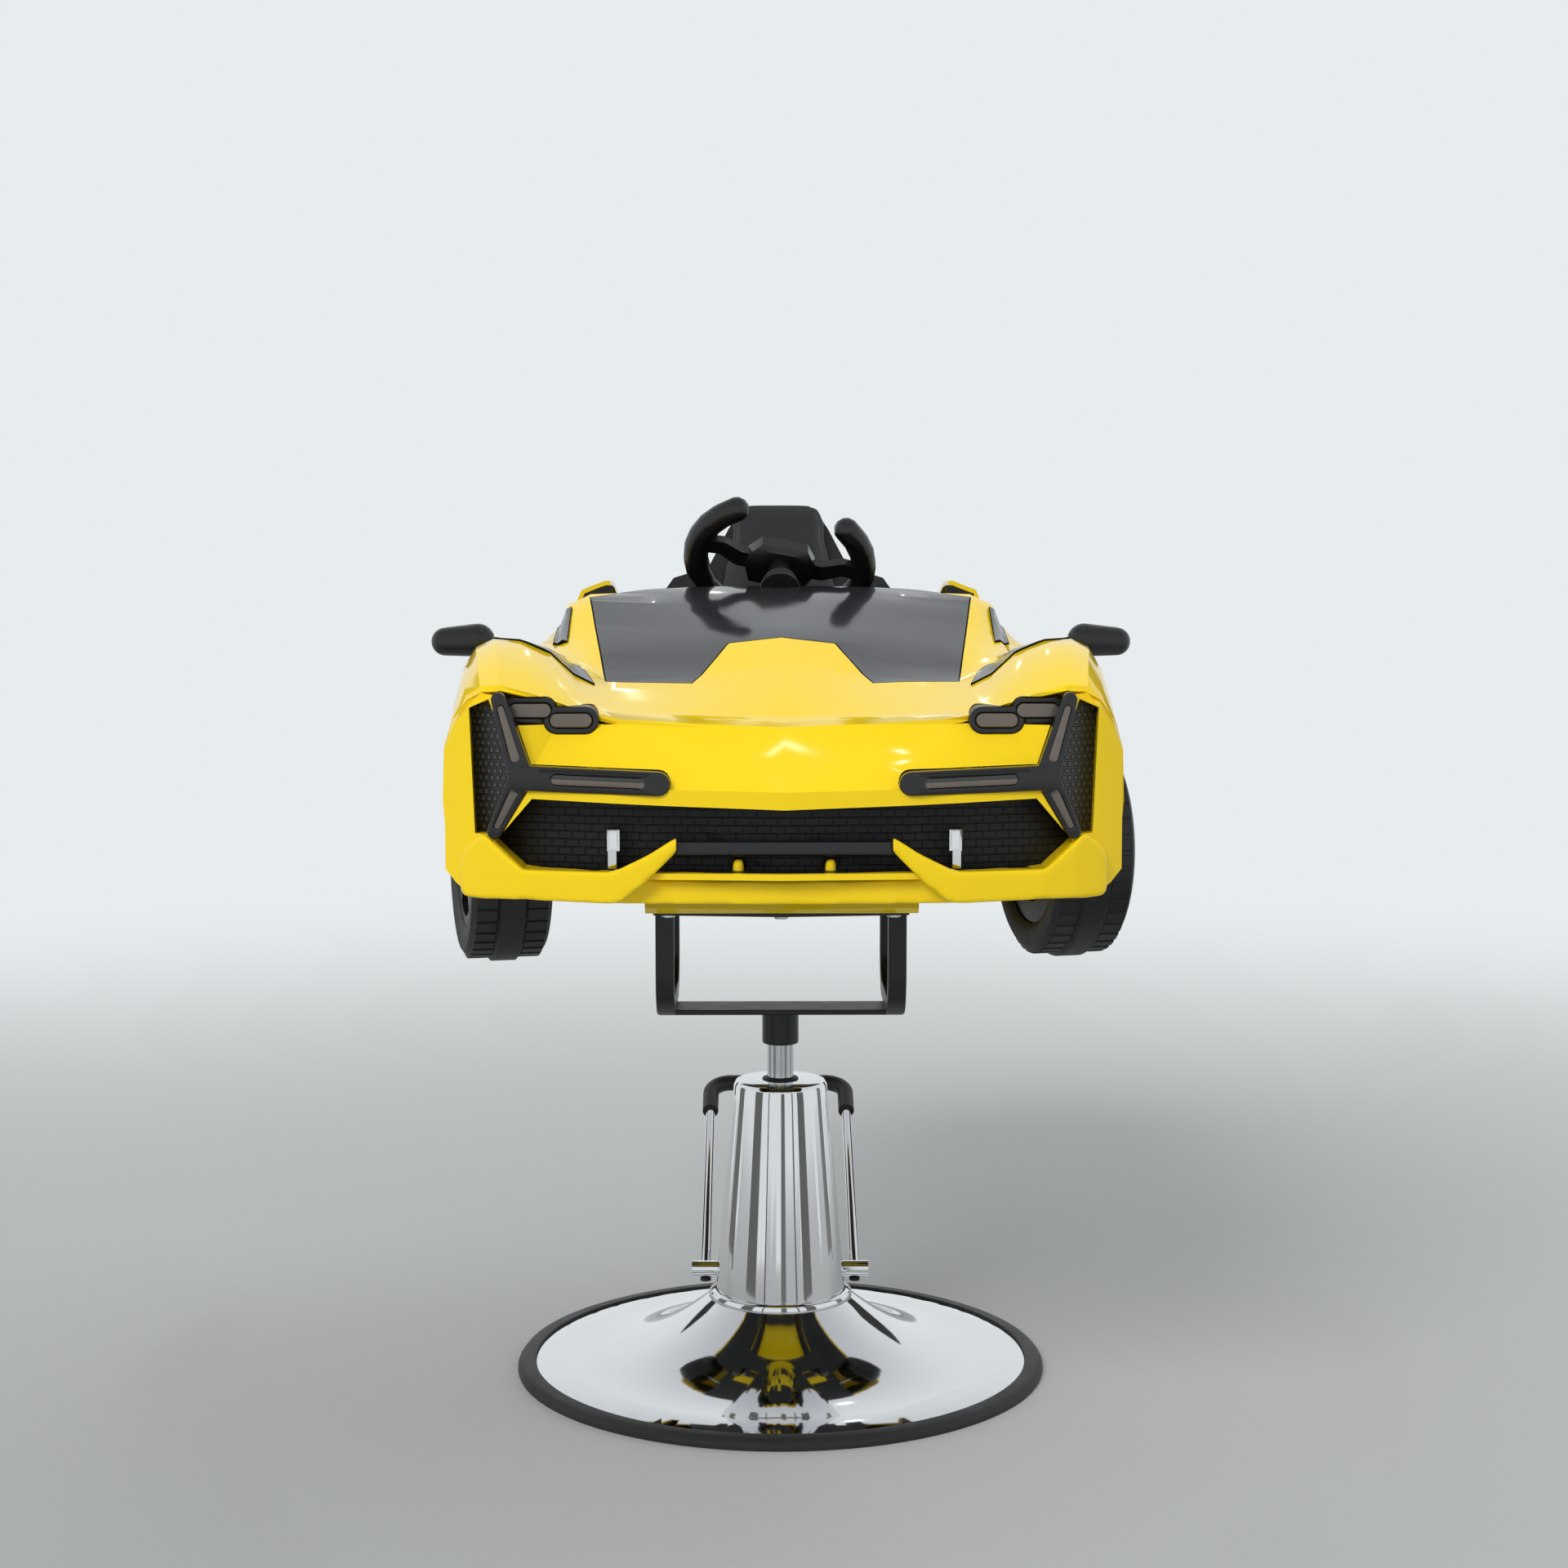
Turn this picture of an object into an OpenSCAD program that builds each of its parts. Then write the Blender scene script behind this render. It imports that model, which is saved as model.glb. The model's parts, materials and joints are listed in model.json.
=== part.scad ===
// Child's car on a hydraulic salon pump. The origin is the centre of the round base on the floor,
// +Z is up and the nose of the car points along -Y.

/* [Base] */
// Diameter over the rubber ring on the floor
base_d = 568; // [520:2:620]
// Width of the rubber band that shows round the chrome
ring_band = 19.5; // [14:0.5:26]
// Height of the rubber ring
ring_h = 12; // [10:0.5:16]
// Height of the flat seat in the middle of the base plate
plate_h = 76; // [66:1:90]
// Thickness of the pressed base plate
plate_t = 2.5; // [1.5:0.5:4]
// Radius of the pressed crease near the rim
crease_r = 243; // [225:1:250]

/* [Column] */
// Diameter of the column cover at its foot
cover_foot_d = 140; // [134:1:148]
// Diameter of the column cover at its top
cover_top_d = 99; // [94:1:110]
// Height of the top of the cover above the floor
cover_top_z = 313; // [300:1:330]
// Wall of the chrome cover
cover_t = 1.5; // [1:0.25:3]
// Diameter of the foot ring round the cover
foot_ring_d = 154; // [150:1:160]
// Outer diameter of the oil cylinder inside the cover
barrel_d = 62; // [56:1:66]
// Half width of the pump housing behind the column
housing_half_w = 64; // [60:1:66]
// Top of the pump housing above the floor
housing_top_z = 145; // [135:1:160]

/* [Pump lever] */
// Height of the lever shaft above the floor
shaft_z = 91; // [88:1:96]
// Distance of the lever shaft behind the column axis
shaft_y = 45; // [43:1:48]
// Diameter of the lever shaft
shaft_d = 14; // [12:1:16]
// Length of the lever from shaft to the middle of the grip
lever_l = 371; // [340:1:420]
// Lean of the lever above level
lever_lean = 21.5; // [16:0.5:24]
// Distance between the two rods of the lever
lever_w = 164; // [158:1:176]
// Diameter of the lever rod
lever_rod_d = 11; // [9:0.5:12]
// Diameter over the rubber grip
grip_d = 19; // [16:0.5:24]
// Length of the grip along each rod
grip_leg = 38; // [30:1:60]
// Bend radius of the lever corners
lever_bend_r = 24; // [20:1:32]

/* [Lift] */
// Diameter of the lifting rod
rod_d = 28; // [25:0.5:32]
// Outer diameter of the socket that turns on the rod
socket_d = 39; // [38:0.5:46]
// Underside of the socket above the floor
socket_z = 352; // [350:1:365]
// Height of the socket
socket_h = 35; // [30:1:45]

/* [Bracket] */
// Width over the bracket's side loops
bracket_w = 260; // [240:2:290]
// Depth of the side loops from front to back
loop_depth = 200; // [180:2:220]
// Height of the side loops
loop_h = 116; // [100:1:140]
// Width of the loop tube, seen from the front
loop_tube_w = 19; // [15:0.5:25]
// Thickness of the loop tube
loop_tube_t = 16; // [12:0.5:20]
// Outer bend radius of the loops
loop_bend_r = 50; // [40:1:60]
// Depth of the flat bar under the loops
foot_bar_depth = 56; // [46:1:80]
// Thickness of the flat bar
foot_bar_t = 5.5; // [4:0.5:8]
// Height of the top frame's tube
frame_h = 12; // [10:0.5:16]
// Width of the top frame's tube
frame_tube_w = 30; // [24:1:40]
// Bow of the frame's front bar at the middle
frame_bow = 14; // [6:1:20]

/* [Car body] */
// Length of the car body
body_l = 1070; // [1000:5:1120]
// Width of the car body
body_w = 626; // [600:2:660]
// Height of the body from its sills to its rim
body_h = 280; // [260:2:310]
// How far the nose reaches in front of the column axis
nose_reach = 520; // [500:2:540]
// How far the corners of the nose sweep back
nose_sweep = 95; // [80:1:105]
// Wall of the moulded body
body_wall = 5; // [4:0.5:6]
// Height of the belly pan under the chassis floor
belly_h = 46; // [36:1:56]
// Half width of the belly pan
belly_half_w = 136; // [126:1:146]
// Thickness of the chassis floor
floor_t = 5; // [4:0.5:8]

/* [Trim] */
// Thickness of the black windscreen panel
screen_t = 2.5; // [1.5:0.25:3]
// Thickness of thin black trim on the body
trim_t = 2; // [1:0.25:3]
// Width of each arm of the light surrounds
arm_w = 22; // [18:0.5:26]
// Depth of the light surrounds
arm_depth = 14; // [10:0.5:18]
// Depth of the splitter from front to back
lip_depth = 42; // [32:1:52]
// Depth of the grille behind the nose
grille_recess = 34; // [26:1:44]
// Thickness of the grille panels
grille_t = 4; // [3:0.5:6]

/* [Doors] */
// Front edge of the door, behind the column axis when positive
door_front = -75; // [-80:1:-70]
// Shut line in front of the door, wide enough for its edge to swing past
door_shut_gap = 2.4; // [1.8:0.1:3]
// Length of the door behind its hinge
door_l = 238; // [225:1:245]
// Bottom of the door above the body's sill
door_sill_h = 46; // [40:1:60]
// Top of the door above the body's sill
door_top_h = 216; // [208:1:220]
// Thickness of the door
door_t = 20; // [16:0.5:22]

/* [Wheels] */
// Diameter over the tread rib
wheel_d = 216; // [206:1:220]
// Width of the tyre
tyre_w = 75; // [66:1:78]
// Width of the raised rib in the middle of the tread
rib_w = 22; // [16:1:30]
// Number of tread blocks round each shoulder
tread_n = 44; // [30:1:52]
// Depth of the grooves between the tread blocks
tread_depth = 3; // [1.5:0.25:4]
// Diameter of the rim
rim_d = 150; // [140:1:156]
// Distance between the middles of the wheels on an axle
track = 544; // [538:1:552]
// Front axle in front of the column axis
front_axle = 277; // [272:1:282]
// Rear axle behind the column axis
rear_axle = 315; // [305:1:325]
// Height of the axles above the body's sill
axle_h = 31; // [29:1:36]
// Diameter of the axles
axle_d = 12; // [10:0.5:14]

/* [Steering] */
// Turn of the steering at rest, to the driver's left
steer_turn = 13; // [0:1:16]
// Distance from each kingpin to the middle of its wheel
kingpin_reach = 54; // [50:1:58]
// Length of the steering arms and of the column's crank
arm_l = 48; // [42:1:54]
// Slope of the steering column above level
column_slope = 36; // [32:1:40]
// Diameter of the steering column
column_d = 12; // [10:0.5:14]
// Diameter of the steering wheel
wheel_hand_d = 212; // [196:2:224]
// Diameter of the steering wheel's grips
hand_grip_d = 27.5; // [20:0.5:30]

/* [Seat] */
// Top of the seat back above the body's sill
seat_top_h = 372; // [350:2:390]
// Half width of the seat shell at the shoulders
seat_half_w = 137; // [126:1:142]
// Lean of the seat back
seat_lean = 11; // [6:1:16]
// Thickness of the cushions
cushion_t = 30; // [22:1:36]

/* [Hidden] */

$fn = 64;
overrun = 1;
clear = 0.3;
run = 0.05;
hull_fn = 24;

base_r = base_d / 2;
plate_r = base_r - ring_band;
rim_z = ring_h - plate_t;
crease_z = ring_h + plate_t;
rod_r = rod_d / 2;
housing_depth = 62;
bolt_d = 10;
bolt_head_h = 4;

body_z = socket_z + socket_h + foot_bar_t + loop_h + frame_h + belly_h;
half_w = body_w / 2;
front_y = -nose_reach;
rear_y = front_y + body_l;
axle_z = body_z + axle_h;
frame_z = body_z - belly_h - frame_h;
wheel_x = track / 2;
kingpin_x = wheel_x - kingpin_reach;
wheel_r = wheel_d / 2;
arch_r = wheel_r + 18 * wheel_r / 108;
door_sill_z = body_z + door_sill_h;
door_top_z = body_z + door_top_h;
door_hinge_x = half_w - 16 * half_w / 313;
door_hinge_r = half_w - door_hinge_x + clear;

// Half sections of the body from the nose to the tail. Each row runs from the middle of the car out to
// the sill, and each point is a share of half the width, of the length and of the height.
section_shares = [
    [[0, 0, 0.375], [0.46, 0.014, 0.386], [0.73, 0.034, 0.4], [0.82, 0.054, 0.664],
        [0.9, 0.065, 0.629], [0.98, 0.09, 0.48], [0.97, 0.086, 0.16], [0.9, 0.075, 0.02]],
    [[0, 0.072, 0.55], [0.46, 0.068, 0.571], [0.63, 0.075, 0.6], [0.79, 0.064, 0.668],
        [0.905, 0.078, 0.642], [0.985, 0.11, 0.485], [0.975, 0.1, 0.145], [0.91, 0.088, 0.01]],
    [[0, 0.077, 0.557], [0.46, 0.072, 0.582], [0.63, 0.063, 0.636], [0.81, 0.062, 0.696],
        [0.91, 0.082, 0.657], [0.99, 0.117, 0.486], [0.98, 0.107, 0.143], [0.91, 0.093, 0.007]],
    [[0, 0.15, 0.646], [0.5, 0.154, 0.629], [0.66, 0.136, 0.711], [0.84, 0.14, 0.779],
        [0.945, 0.154, 0.707], [1, 0.178, 0.486], [0.99, 0.168, 0.129], [0.92, 0.159, 0]],
    [[0, 0.229, 0.732], [0.54, 0.234, 0.675], [0.71, 0.22, 0.782], [0.88, 0.224, 0.821],
        [0.97, 0.229, 0.729], [1, 0.234, 0.486], [0.99, 0.234, 0.121], [0.93, 0.234, 0]],
    [[0, 0.304, 0.821], [0.58, 0.308, 0.757], [0.72, 0.304, 0.757], [0.87, 0.304, 0.793],
        [0.97, 0.308, 0.707], [1, 0.308, 0.486], [0.99, 0.308, 0.121], [0.93, 0.308, 0]],
    [[0, 0.393, 0.896], [0.61, 0.393, 0.85], [0.73, 0.393, 0.779], [0.86, 0.393, 0.754],
        [0.96, 0.393, 0.675], [1, 0.393, 0.486], [0.99, 0.393, 0.121], [0.93, 0.393, 0]],
    [[0, 0.467, 0.954], [0.64, 0.467, 0.939], [0.73, 0.467, 0.843], [0.84, 0.467, 0.736],
        [0.96, 0.467, 0.65], [1, 0.467, 0.486], [0.99, 0.467, 0.121], [0.93, 0.467, 0]],
    [[0, 0.533, 0.986], [0.64, 0.533, 0.975], [0.73, 0.533, 0.879], [0.84, 0.533, 0.736],
        [0.96, 0.533, 0.639], [1, 0.533, 0.479], [0.99, 0.533, 0.121], [0.93, 0.533, 0]],
    [[0, 0.626, 0.993], [0.63, 0.626, 0.996], [0.73, 0.626, 0.9], [0.84, 0.626, 0.739],
        [0.96, 0.626, 0.643], [1, 0.626, 0.479], [0.99, 0.626, 0.121], [0.93, 0.626, 0]],
    [[0, 0.72, 0.975], [0.61, 0.72, 0.985], [0.73, 0.72, 0.9], [0.85, 0.72, 0.75],
        [0.97, 0.72, 0.657], [1, 0.72, 0.479], [0.99, 0.72, 0.121], [0.93, 0.72, 0]],
    [[0, 0.804, 0.925], [0.59, 0.804, 0.935], [0.72, 0.804, 0.865], [0.86, 0.804, 0.746],
        [0.98, 0.804, 0.664], [1, 0.804, 0.479], [0.99, 0.804, 0.121], [0.93, 0.804, 0]],
    [[0, 0.888, 0.895], [0.56, 0.888, 0.905], [0.7, 0.888, 0.835], [0.86, 0.888, 0.721],
        [0.97, 0.888, 0.65], [1, 0.888, 0.479], [0.98, 0.888, 0.164], [0.91, 0.888, 0.036]],
    [[0, 0.953, 0.854], [0.51, 0.953, 0.864], [0.68, 0.953, 0.8], [0.84, 0.953, 0.7],
        [0.96, 0.953, 0.629], [0.98, 0.953, 0.479], [0.96, 0.953, 0.193], [0.88, 0.953, 0.086]],
    [[0, 1, 0.814], [0.5, 0.997, 0.821], [0.66, 0.991, 0.764], [0.82, 0.979, 0.679],
        [0.93, 0.967, 0.614], [0.96, 0.958, 0.479], [0.94, 0.958, 0.236], [0.84, 0.964, 0.129]]
];
// Sweep of the nose in plan: share of half the width, then share of the sweep
plan_shares = [[0, 0], [0.335, 0.084], [0.48, 0.16], [0.75, 0.4], [0.84, 0.55], [0.91, 0.72], [1, 1]];

function sx(share) = share * half_w;
function sy(share) = front_y + share * body_l;
function sz(share) = body_z + share * body_h;
function nose_y(x) = front_y + nose_sweep * lookup(abs(x) / half_w, plan_shares);

function pick(list, i) = list[max(0, min(len(list) - 1, i))];
function spline(a, b, c, d, t) =
    (b * 2 + (c - a) * t + (a * 2 - b * 5 + c * 4 - d) * t * t + (b * 3 - a - c * 3 + d) * t * t * t) / 2;
function refine(list, n) = [
    for (i = [0 : len(list) - 2]) for (k = [0 : n - 1])
        spline(pick(list, i - 1), pick(list, i), pick(list, i + 1), pick(list, i + 2), k / n),
    list[len(list) - 1]
];
function real_row(row) = [for (p = row) [sx(p[0]), sy(p[1]), sz(p[2])]];
// A half section moved inwards by t, square to its own outline
function inset_row(row, t, drop) = [
    for (i = [0 : len(row) - 1])
        let (
            before = i == 0 ? [-row[1][0], row[1][1], row[1][2]] : row[i - 1],
            after = pick(row, i + 1),
            d = [after[0] - before[0], after[2] - before[2]] / norm([after[0] - before[0], after[2] - before[2]]),
            down = i == len(row) - 1 ? drop : 0
        )
        [max(0, row[i][0] + t * d[1] + down * d[0]), row[i][1], row[i][2] - t * d[0] + down * d[1]]
];
function full_ring(row) =
    concat(row, [for (i = [len(row) - 1 : -1 : 1]) [-row[i][0], row[i][1], row[i][2]]]);

// A closed skin through rings that each have the same number of points, mirrored about x = 0. Each end is
// closed by a wall that drops from the ring's upper edge, as far as the knee, to the level of its foot.
module skin(rings, knee) {
    m = len(rings[0]);
    foot = (m - 1) / 2;
    count = len(rings) * m;
    function dropped(ring, i, side) =
        let (q = ring[i][0] / ring[knee][0], a = ring[0][1], b = ring[foot][1])
        [side * q * ring[foot][0], a + (b - a) * q * q, ring[foot][2]];
    drops = [for (ring = [rings[0], rings[len(rings) - 1]]) for (side = [1, -1]) for (i = [0 : knee - 1])
        dropped(ring, i, side)];
    function up(end, i, side) = end * (count - m) + (side > 0 || i == 0 ? i : m - i);
    function down(end, i, side) =
        i == knee ? up(end, foot, side) : count + end * 2 * knee + (side > 0 || i == 0 ? i : knee + i);
    function wind(f, keep) = keep ? f : [f[0], f[2], f[1]];
    sides = [for (r = [0 : len(rings) - 2]) for (i = [0 : m - 1])
        let (j = (i + 1) % m, a = r * m, b = a + m)
        each [[a + i, b + i, a + j], [a + j, b + i, b + j]]];
    walls = [for (end = [0, 1]) for (side = [1, -1]) let (keep = (end == 0) == (side > 0)) each concat(
        [for (i = [0 : knee - 1]) each [
            wind([up(end, i, side), up(end, i + 1, side), down(end, i + 1, side)], keep),
            wind([up(end, i, side), down(end, i + 1, side), down(end, i, side)], keep)]],
        [for (i = [knee : foot - 2]) wind([up(end, foot, side), up(end, i, side), up(end, i + 1, side)], keep)])];
    floors = [for (end = [0, 1]) for (i = [0 : knee - 1]) each concat(
        [wind([down(end, i, 1), down(end, i + 1, 1), down(end, i + 1, -1)], end == 0)],
        i == 0 ? [] : [wind([down(end, i, 1), down(end, i + 1, -1), down(end, i, -1)], end == 0)])];
    polyhedron(concat([for (r = rings) each r], drops), concat(sides, walls, floors));
}

// The bumper block across the nose, a row of slabs between posts: share of half the width, low, high
bumper_shares = [[0, 0.1, 0.375], [0.335, 0.1, 0.382], [0.48, 0.1, 0.387], [0.51, 0.03, 0.388], [0.62, 0.03, 0.393],
    [0.73, 0.03, 0.4], [0.77, 0.03, 0.525], [0.823, 0.03, 0.664], [0.9, 0.03, 0.629], [0.94, 0.06, 0.56], [0.975, 0.1, 0.485]];
bumper_depth = 120;
nose_step = 2;
module bumper() {
    pair() for (i = [0 : len(bumper_shares) - 2]) hull() for (s = [bumper_shares[i], bumper_shares[i + 1]])
        translate([sx(s[0]) - nose_step / 2, nose_y(sx(s[0])), sz(s[1])])
            cube([nose_step / 2, front_y + bumper_depth - nose_y(sx(s[0])), sz(s[2]) - sz(s[1])]);
}

// The closed outer form of the body, or that form moved inwards by t and opened below by drop
module body_form(t = 0, drop = 0) {
    rows = refine([for (r = section_shares) real_row(r)], 2);
    count = len(rows);
    skin([for (i = [0 : count - 1])
        let (row = refine(rows[i], 2), moved = t == 0 ? row : inset_row(row, t, drop),
            push = i == 0 ? nose_step + t : i == count - 1 ? -t * 1.5 : 0)
        full_ring([for (p = moved) p + [0, push, 0]])], 10);
    if (t == 0) bumper();
}
module hollow_form() {
    body_form(body_wall, 60 * body_h / 280);
}
// The layer between two depths behind the nose, following its sweep
module nose_layer(from, to) {
    difference() {
        translate([0, from, 0]) body_form();
        translate([0, to, 0]) body_form();
    }
}

// A band across the car: each station is [x, low z, high z, front y, depth]
module ribbon(stations) {
    n = len(stations);
    points = [for (s = stations) each [
        [s[0], s[3], s[1]], [s[0], s[3], s[2]], [s[0], s[3] + s[4], s[2]], [s[0], s[3] + s[4], s[1]]]];
    sides = [for (i = [0 : n - 2]) for (k = [0 : 3])
        let (a = i * 4 + k, b = i * 4 + (k + 1) % 4, c = a + 4, d = b + 4)
        each [[a, b, c], [b, d, c]]];
    e = (n - 1) * 4;
    polyhedron(points, concat(sides, [[0, 2, 1], [0, 3, 2], [e, e + 1, e + 2], [e, e + 2, e + 3]]));
}

module pair() {
    children();
    mirror([1, 0, 0]) children();
}

// A prism whose outline is drawn in plan, from low to high
module plan_prism(outline, low, high) {
    translate([0, 0, low]) linear_extrude(high - low) polygon(outline);
}

// A prism whose outline is drawn as seen from the front, from y = near to y = far
module front_prism(outline, near, far) {
    translate([0, far, 0]) rotate([90, 0, 0]) linear_extrude(far - near) polygon(outline);
}

function cog_points(n, r_out, r_in, fill) = [
    for (i = [0 : n - 1]) let (a = 360 / n)
        each [for (q = [[0, r_in], [0, r_out], [fill, r_out], [fill, r_in]])
            [q[1] * cos((i + q[0]) * a), q[1] * sin((i + q[0]) * a)]]
];

// Base and column

module base_ring() {
    color("#1c1d1f") rotate_extrude($fn = 128) polygon([
        [plate_r - ring_band, 0], [base_r, 0], [base_r, ring_h * 0.45], [base_r - ring_h * 0.3, ring_h * 0.85],
        [base_r - ring_h * 0.7, ring_h], [plate_r + clear, ring_h], [plate_r + clear, rim_z - plate_t],
        [plate_r - ring_band, rim_z - plate_t]
    ]);
}

flare_shares = [for (i = [0 : 12]) i / 12];
module base_plate() {
    top = [for (s = flare_shares)
        [crease_r + (foot_ring_d / 2 - crease_r) * s, crease_z + (plate_h - crease_z) * pow(s, 2.3)]];
    bore_r = barrel_d / 2 - plate_t * 4;
    outline = concat([[plate_r, rim_z]], top, [[bore_r, plate_h]]);
    under = [for (i = [len(outline) - 1 : -1 : 0]) outline[i] - [0, plate_t]];
    color("#d7dade") difference() {
        rotate_extrude($fn = 128) polygon(concat(outline, under));
        for (a = [45 : 90 : 315]) rotate(a) translate([base_bolt_r, 0, plate_h - plate_t - overrun])
            cylinder(d = bolt_d + clear, h = plate_t + 2 * overrun);
    }
}

base_bolt_r = barrel_d / 2 + bolt_d;
flange_t = 6;
module base_bolts() {
    color("#8d9095") for (a = [45 : 90 : 315]) rotate(a) translate([base_bolt_r, 0, 0]) {
        translate([0, 0, plate_h - plate_t - bolt_head_h]) cylinder(d = bolt_d * 1.7, h = bolt_head_h, $fn = 6);
        translate([0, 0, plate_h - plate_t]) cylinder(d = bolt_d, h = plate_t + flange_t);
    }
}

ring_foot_h = 8;
module foot_ring() {
    outer = foot_ring_d / 2;
    inner = cover_foot_d / 2 - cover_t - 2 * plate_t;
    color("#d7dade") difference() {
        rotate_extrude($fn = 96) polygon([
            [inner, plate_h], [outer, plate_h], [outer, plate_h + ring_foot_h * 0.5],
            [outer - ring_foot_h * 0.2, plate_h + ring_foot_h * 0.85], [outer - ring_foot_h * 0.5, plate_h + ring_foot_h],
            [cover_foot_d / 2 + clear, plate_h + ring_foot_h], [cover_foot_d / 2 + clear, plate_h + ring_foot_h * 0.4],
            [inner, plate_h + ring_foot_h * 0.4]
        ]);
        housing_block(clear);
    }
}

cover_foot_z = plate_h + ring_foot_h * 0.4;
cover_lip = 6;
module column_cover() {
    foot_r = cover_foot_d / 2;
    top_r = cover_top_d / 2;
    hole_r = rod_r + 5.5 * rod_d / 28;
    color("#d9dcdf") difference() {
        rotate_extrude($fn = 96) polygon([
            [foot_r, cover_foot_z], [top_r + cover_lip * 0.1, cover_top_z - cover_lip],
            [top_r - cover_lip * 0.3, cover_top_z - cover_lip * 0.25], [top_r - cover_lip, cover_top_z],
            [hole_r, cover_top_z], [hole_r, cover_top_z - cover_t], [top_r - cover_lip, cover_top_z - cover_t],
            [top_r - cover_lip, cover_top_z - cover_lip], [foot_r - cover_t, cover_foot_z]
        ]);
        housing_block(clear);
        translate([0, shaft_y, shaft_z]) rotate([0, 90, 0]) cylinder(d = shaft_d + 2 * cover_t, h = cover_foot_d, center = true);
    }
}

barrel_top_z = cover_top_z - cover_lip - clear;
plunger_d = 12;
plunger_l = 21;
crank_l = 24;
crank_w = 22;
roller_r = 5;
crank_room_l = 17;
module oil_cylinder() {
    color("#4b4e52") difference() {
        union() {
            translate([0, 0, plate_h]) cylinder(d = barrel_d, h = barrel_top_z - plate_h);
            translate([0, 0, plate_h]) cylinder(r = base_bolt_r + bolt_d, h = flange_t);
        }
        translate([0, 0, plate_h + flange_t]) cylinder(r = rod_r + run, h = barrel_top_z);
        for (a = [45 : 90 : 315]) rotate(a) translate([base_bolt_r, 0, plate_h - overrun])
            cylinder(d = bolt_d + run, h = flange_t + 2 * overrun);
        translate([0, shaft_y, shaft_z]) rotate([0, 90, 0])
            cylinder(d = shaft_d + 2 * clear, h = cover_foot_d, center = true);
        housing_block(clear);
    }
}

module rod_wiper() {
    hole_r = rod_r + 5.5 * rod_d / 28;
    color("#141414") rotate_extrude() polygon([
        [rod_r + run, barrel_top_z + clear], [hole_r - clear, barrel_top_z + clear],
        [hole_r - clear, cover_top_z + cover_t], [rod_r + run, cover_top_z + 2 * cover_t]
    ]);
}

// The outer shape of the pump housing behind the column
module housing_block(grow) {
    front = barrel_d / 2 - 6 * barrel_d / 62;
    low = plate_h - grow;
    side = housing_half_w + grow;
    chamfer = 9 * housing_half_w / 64;
    translate([0, front - grow, 0]) mirror([0, 1, 0]) rotate([90, 0, 0]) linear_extrude(housing_depth + 2 * grow)
        polygon([[-side, low], [side, low], [side, housing_top_z - chamfer + grow],
            [side - chamfer, housing_top_z + grow], [chamfer - side, housing_top_z + grow],
            [-side, housing_top_z - chamfer + grow]]);
}

module pump_housing() {
    wall = 3 * cover_t;
    color("#d2d5d9") difference() {
        housing_block(0);
        translate([0, 0, plate_h - overrun]) cylinder(d = barrel_d + 2 * clear, h = housing_top_z);
        translate([0, 0, plate_h - overrun]) cylinder(r = base_bolt_r + bolt_d + clear, h = flange_t + overrun + clear);
        translate([0, shaft_y, shaft_z]) rotate([0, 90, 0])
            cylinder(r = shaft_d / 2 + run, h = 2 * housing_half_w + 2 * overrun, center = true);
        translate([-crank_w / 2 - clear, shaft_y - shaft_d * 0.65, plate_h + flange_t + 2 * clear])
            cube([crank_w + 2 * clear, shaft_d * 0.65 + crank_room_l, shaft_z + crank_l + roller_r + wall - plate_h - flange_t]);
        translate([0, shaft_y + crank_room_l - overrun, shaft_z + crank_l]) rotate([-90, 0, 0])
            cylinder(r = plunger_d / 2 + run, h = plunger_l + overrun);
    }
}

module pump_plunger() {
    color("#a9adb2") translate([0, shaft_y + roller_r + clear, shaft_z + crank_l]) rotate([-90, 0, 0])
        cylinder(d = plunger_d, h = plunger_l);
}

// Pump lever

module lever_shaft() {
    end_x = lever_w / 2 + lever_rod_d + 3 * clear;
    color("#b9bdc2") {
        translate([0, shaft_y, shaft_z]) rotate([0, 90, 0]) cylinder(d = shaft_d, h = 2 * end_x, center = true);
        translate([-crank_w / 2, shaft_y - roller_r * 0.7, shaft_z]) cube([crank_w, roller_r * 1.4, crank_l]);
        translate([-crank_w / 2, shaft_y, shaft_z + crank_l]) rotate([0, 90, 0]) cylinder(r = roller_r, h = crank_w);
    }
}

collar_d = 18;
collar_l = 30;
module lever_frame() {
    translate([0, shaft_y, shaft_z]) rotate([lever_lean, 0, 0]) children();
}
module lever_collars() {
    color("#d7dade") pair() difference() {
        translate([lever_w / 2 - collar_l / 2, shaft_y, shaft_z]) rotate([0, 90, 0]) cylinder(d = collar_d, h = collar_l);
        translate([lever_w / 2 - collar_l, shaft_y, shaft_z]) rotate([0, 90, 0]) cylinder(r = shaft_d / 2 + run, h = 2 * collar_l);
        lever_frame() translate([lever_w / 2, 0, 0]) rotate([-90, 0, 0])
            cylinder(r = lever_rod_d / 2 + run, h = collar_d);
        translate([lever_w / 2, shaft_y, shaft_z]) rotate([180, 0, 0]) cylinder(r = screw_d / 2 + run, h = collar_d);
    }
}

screw_d = 7;
module lever_screws() {
    color("#2b2d30") pair() translate([lever_w / 2, shaft_y, shaft_z - shaft_d / 2 - run]) mirror([0, 0, 1]) {
        cylinder(d = screw_d, h = collar_d / 2 - shaft_d / 2 + clear);
        translate([0, 0, collar_d / 2 - shaft_d / 2 + clear]) cylinder(d = screw_d * 1.7, h = screw_d * 0.5);
    }
}

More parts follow.
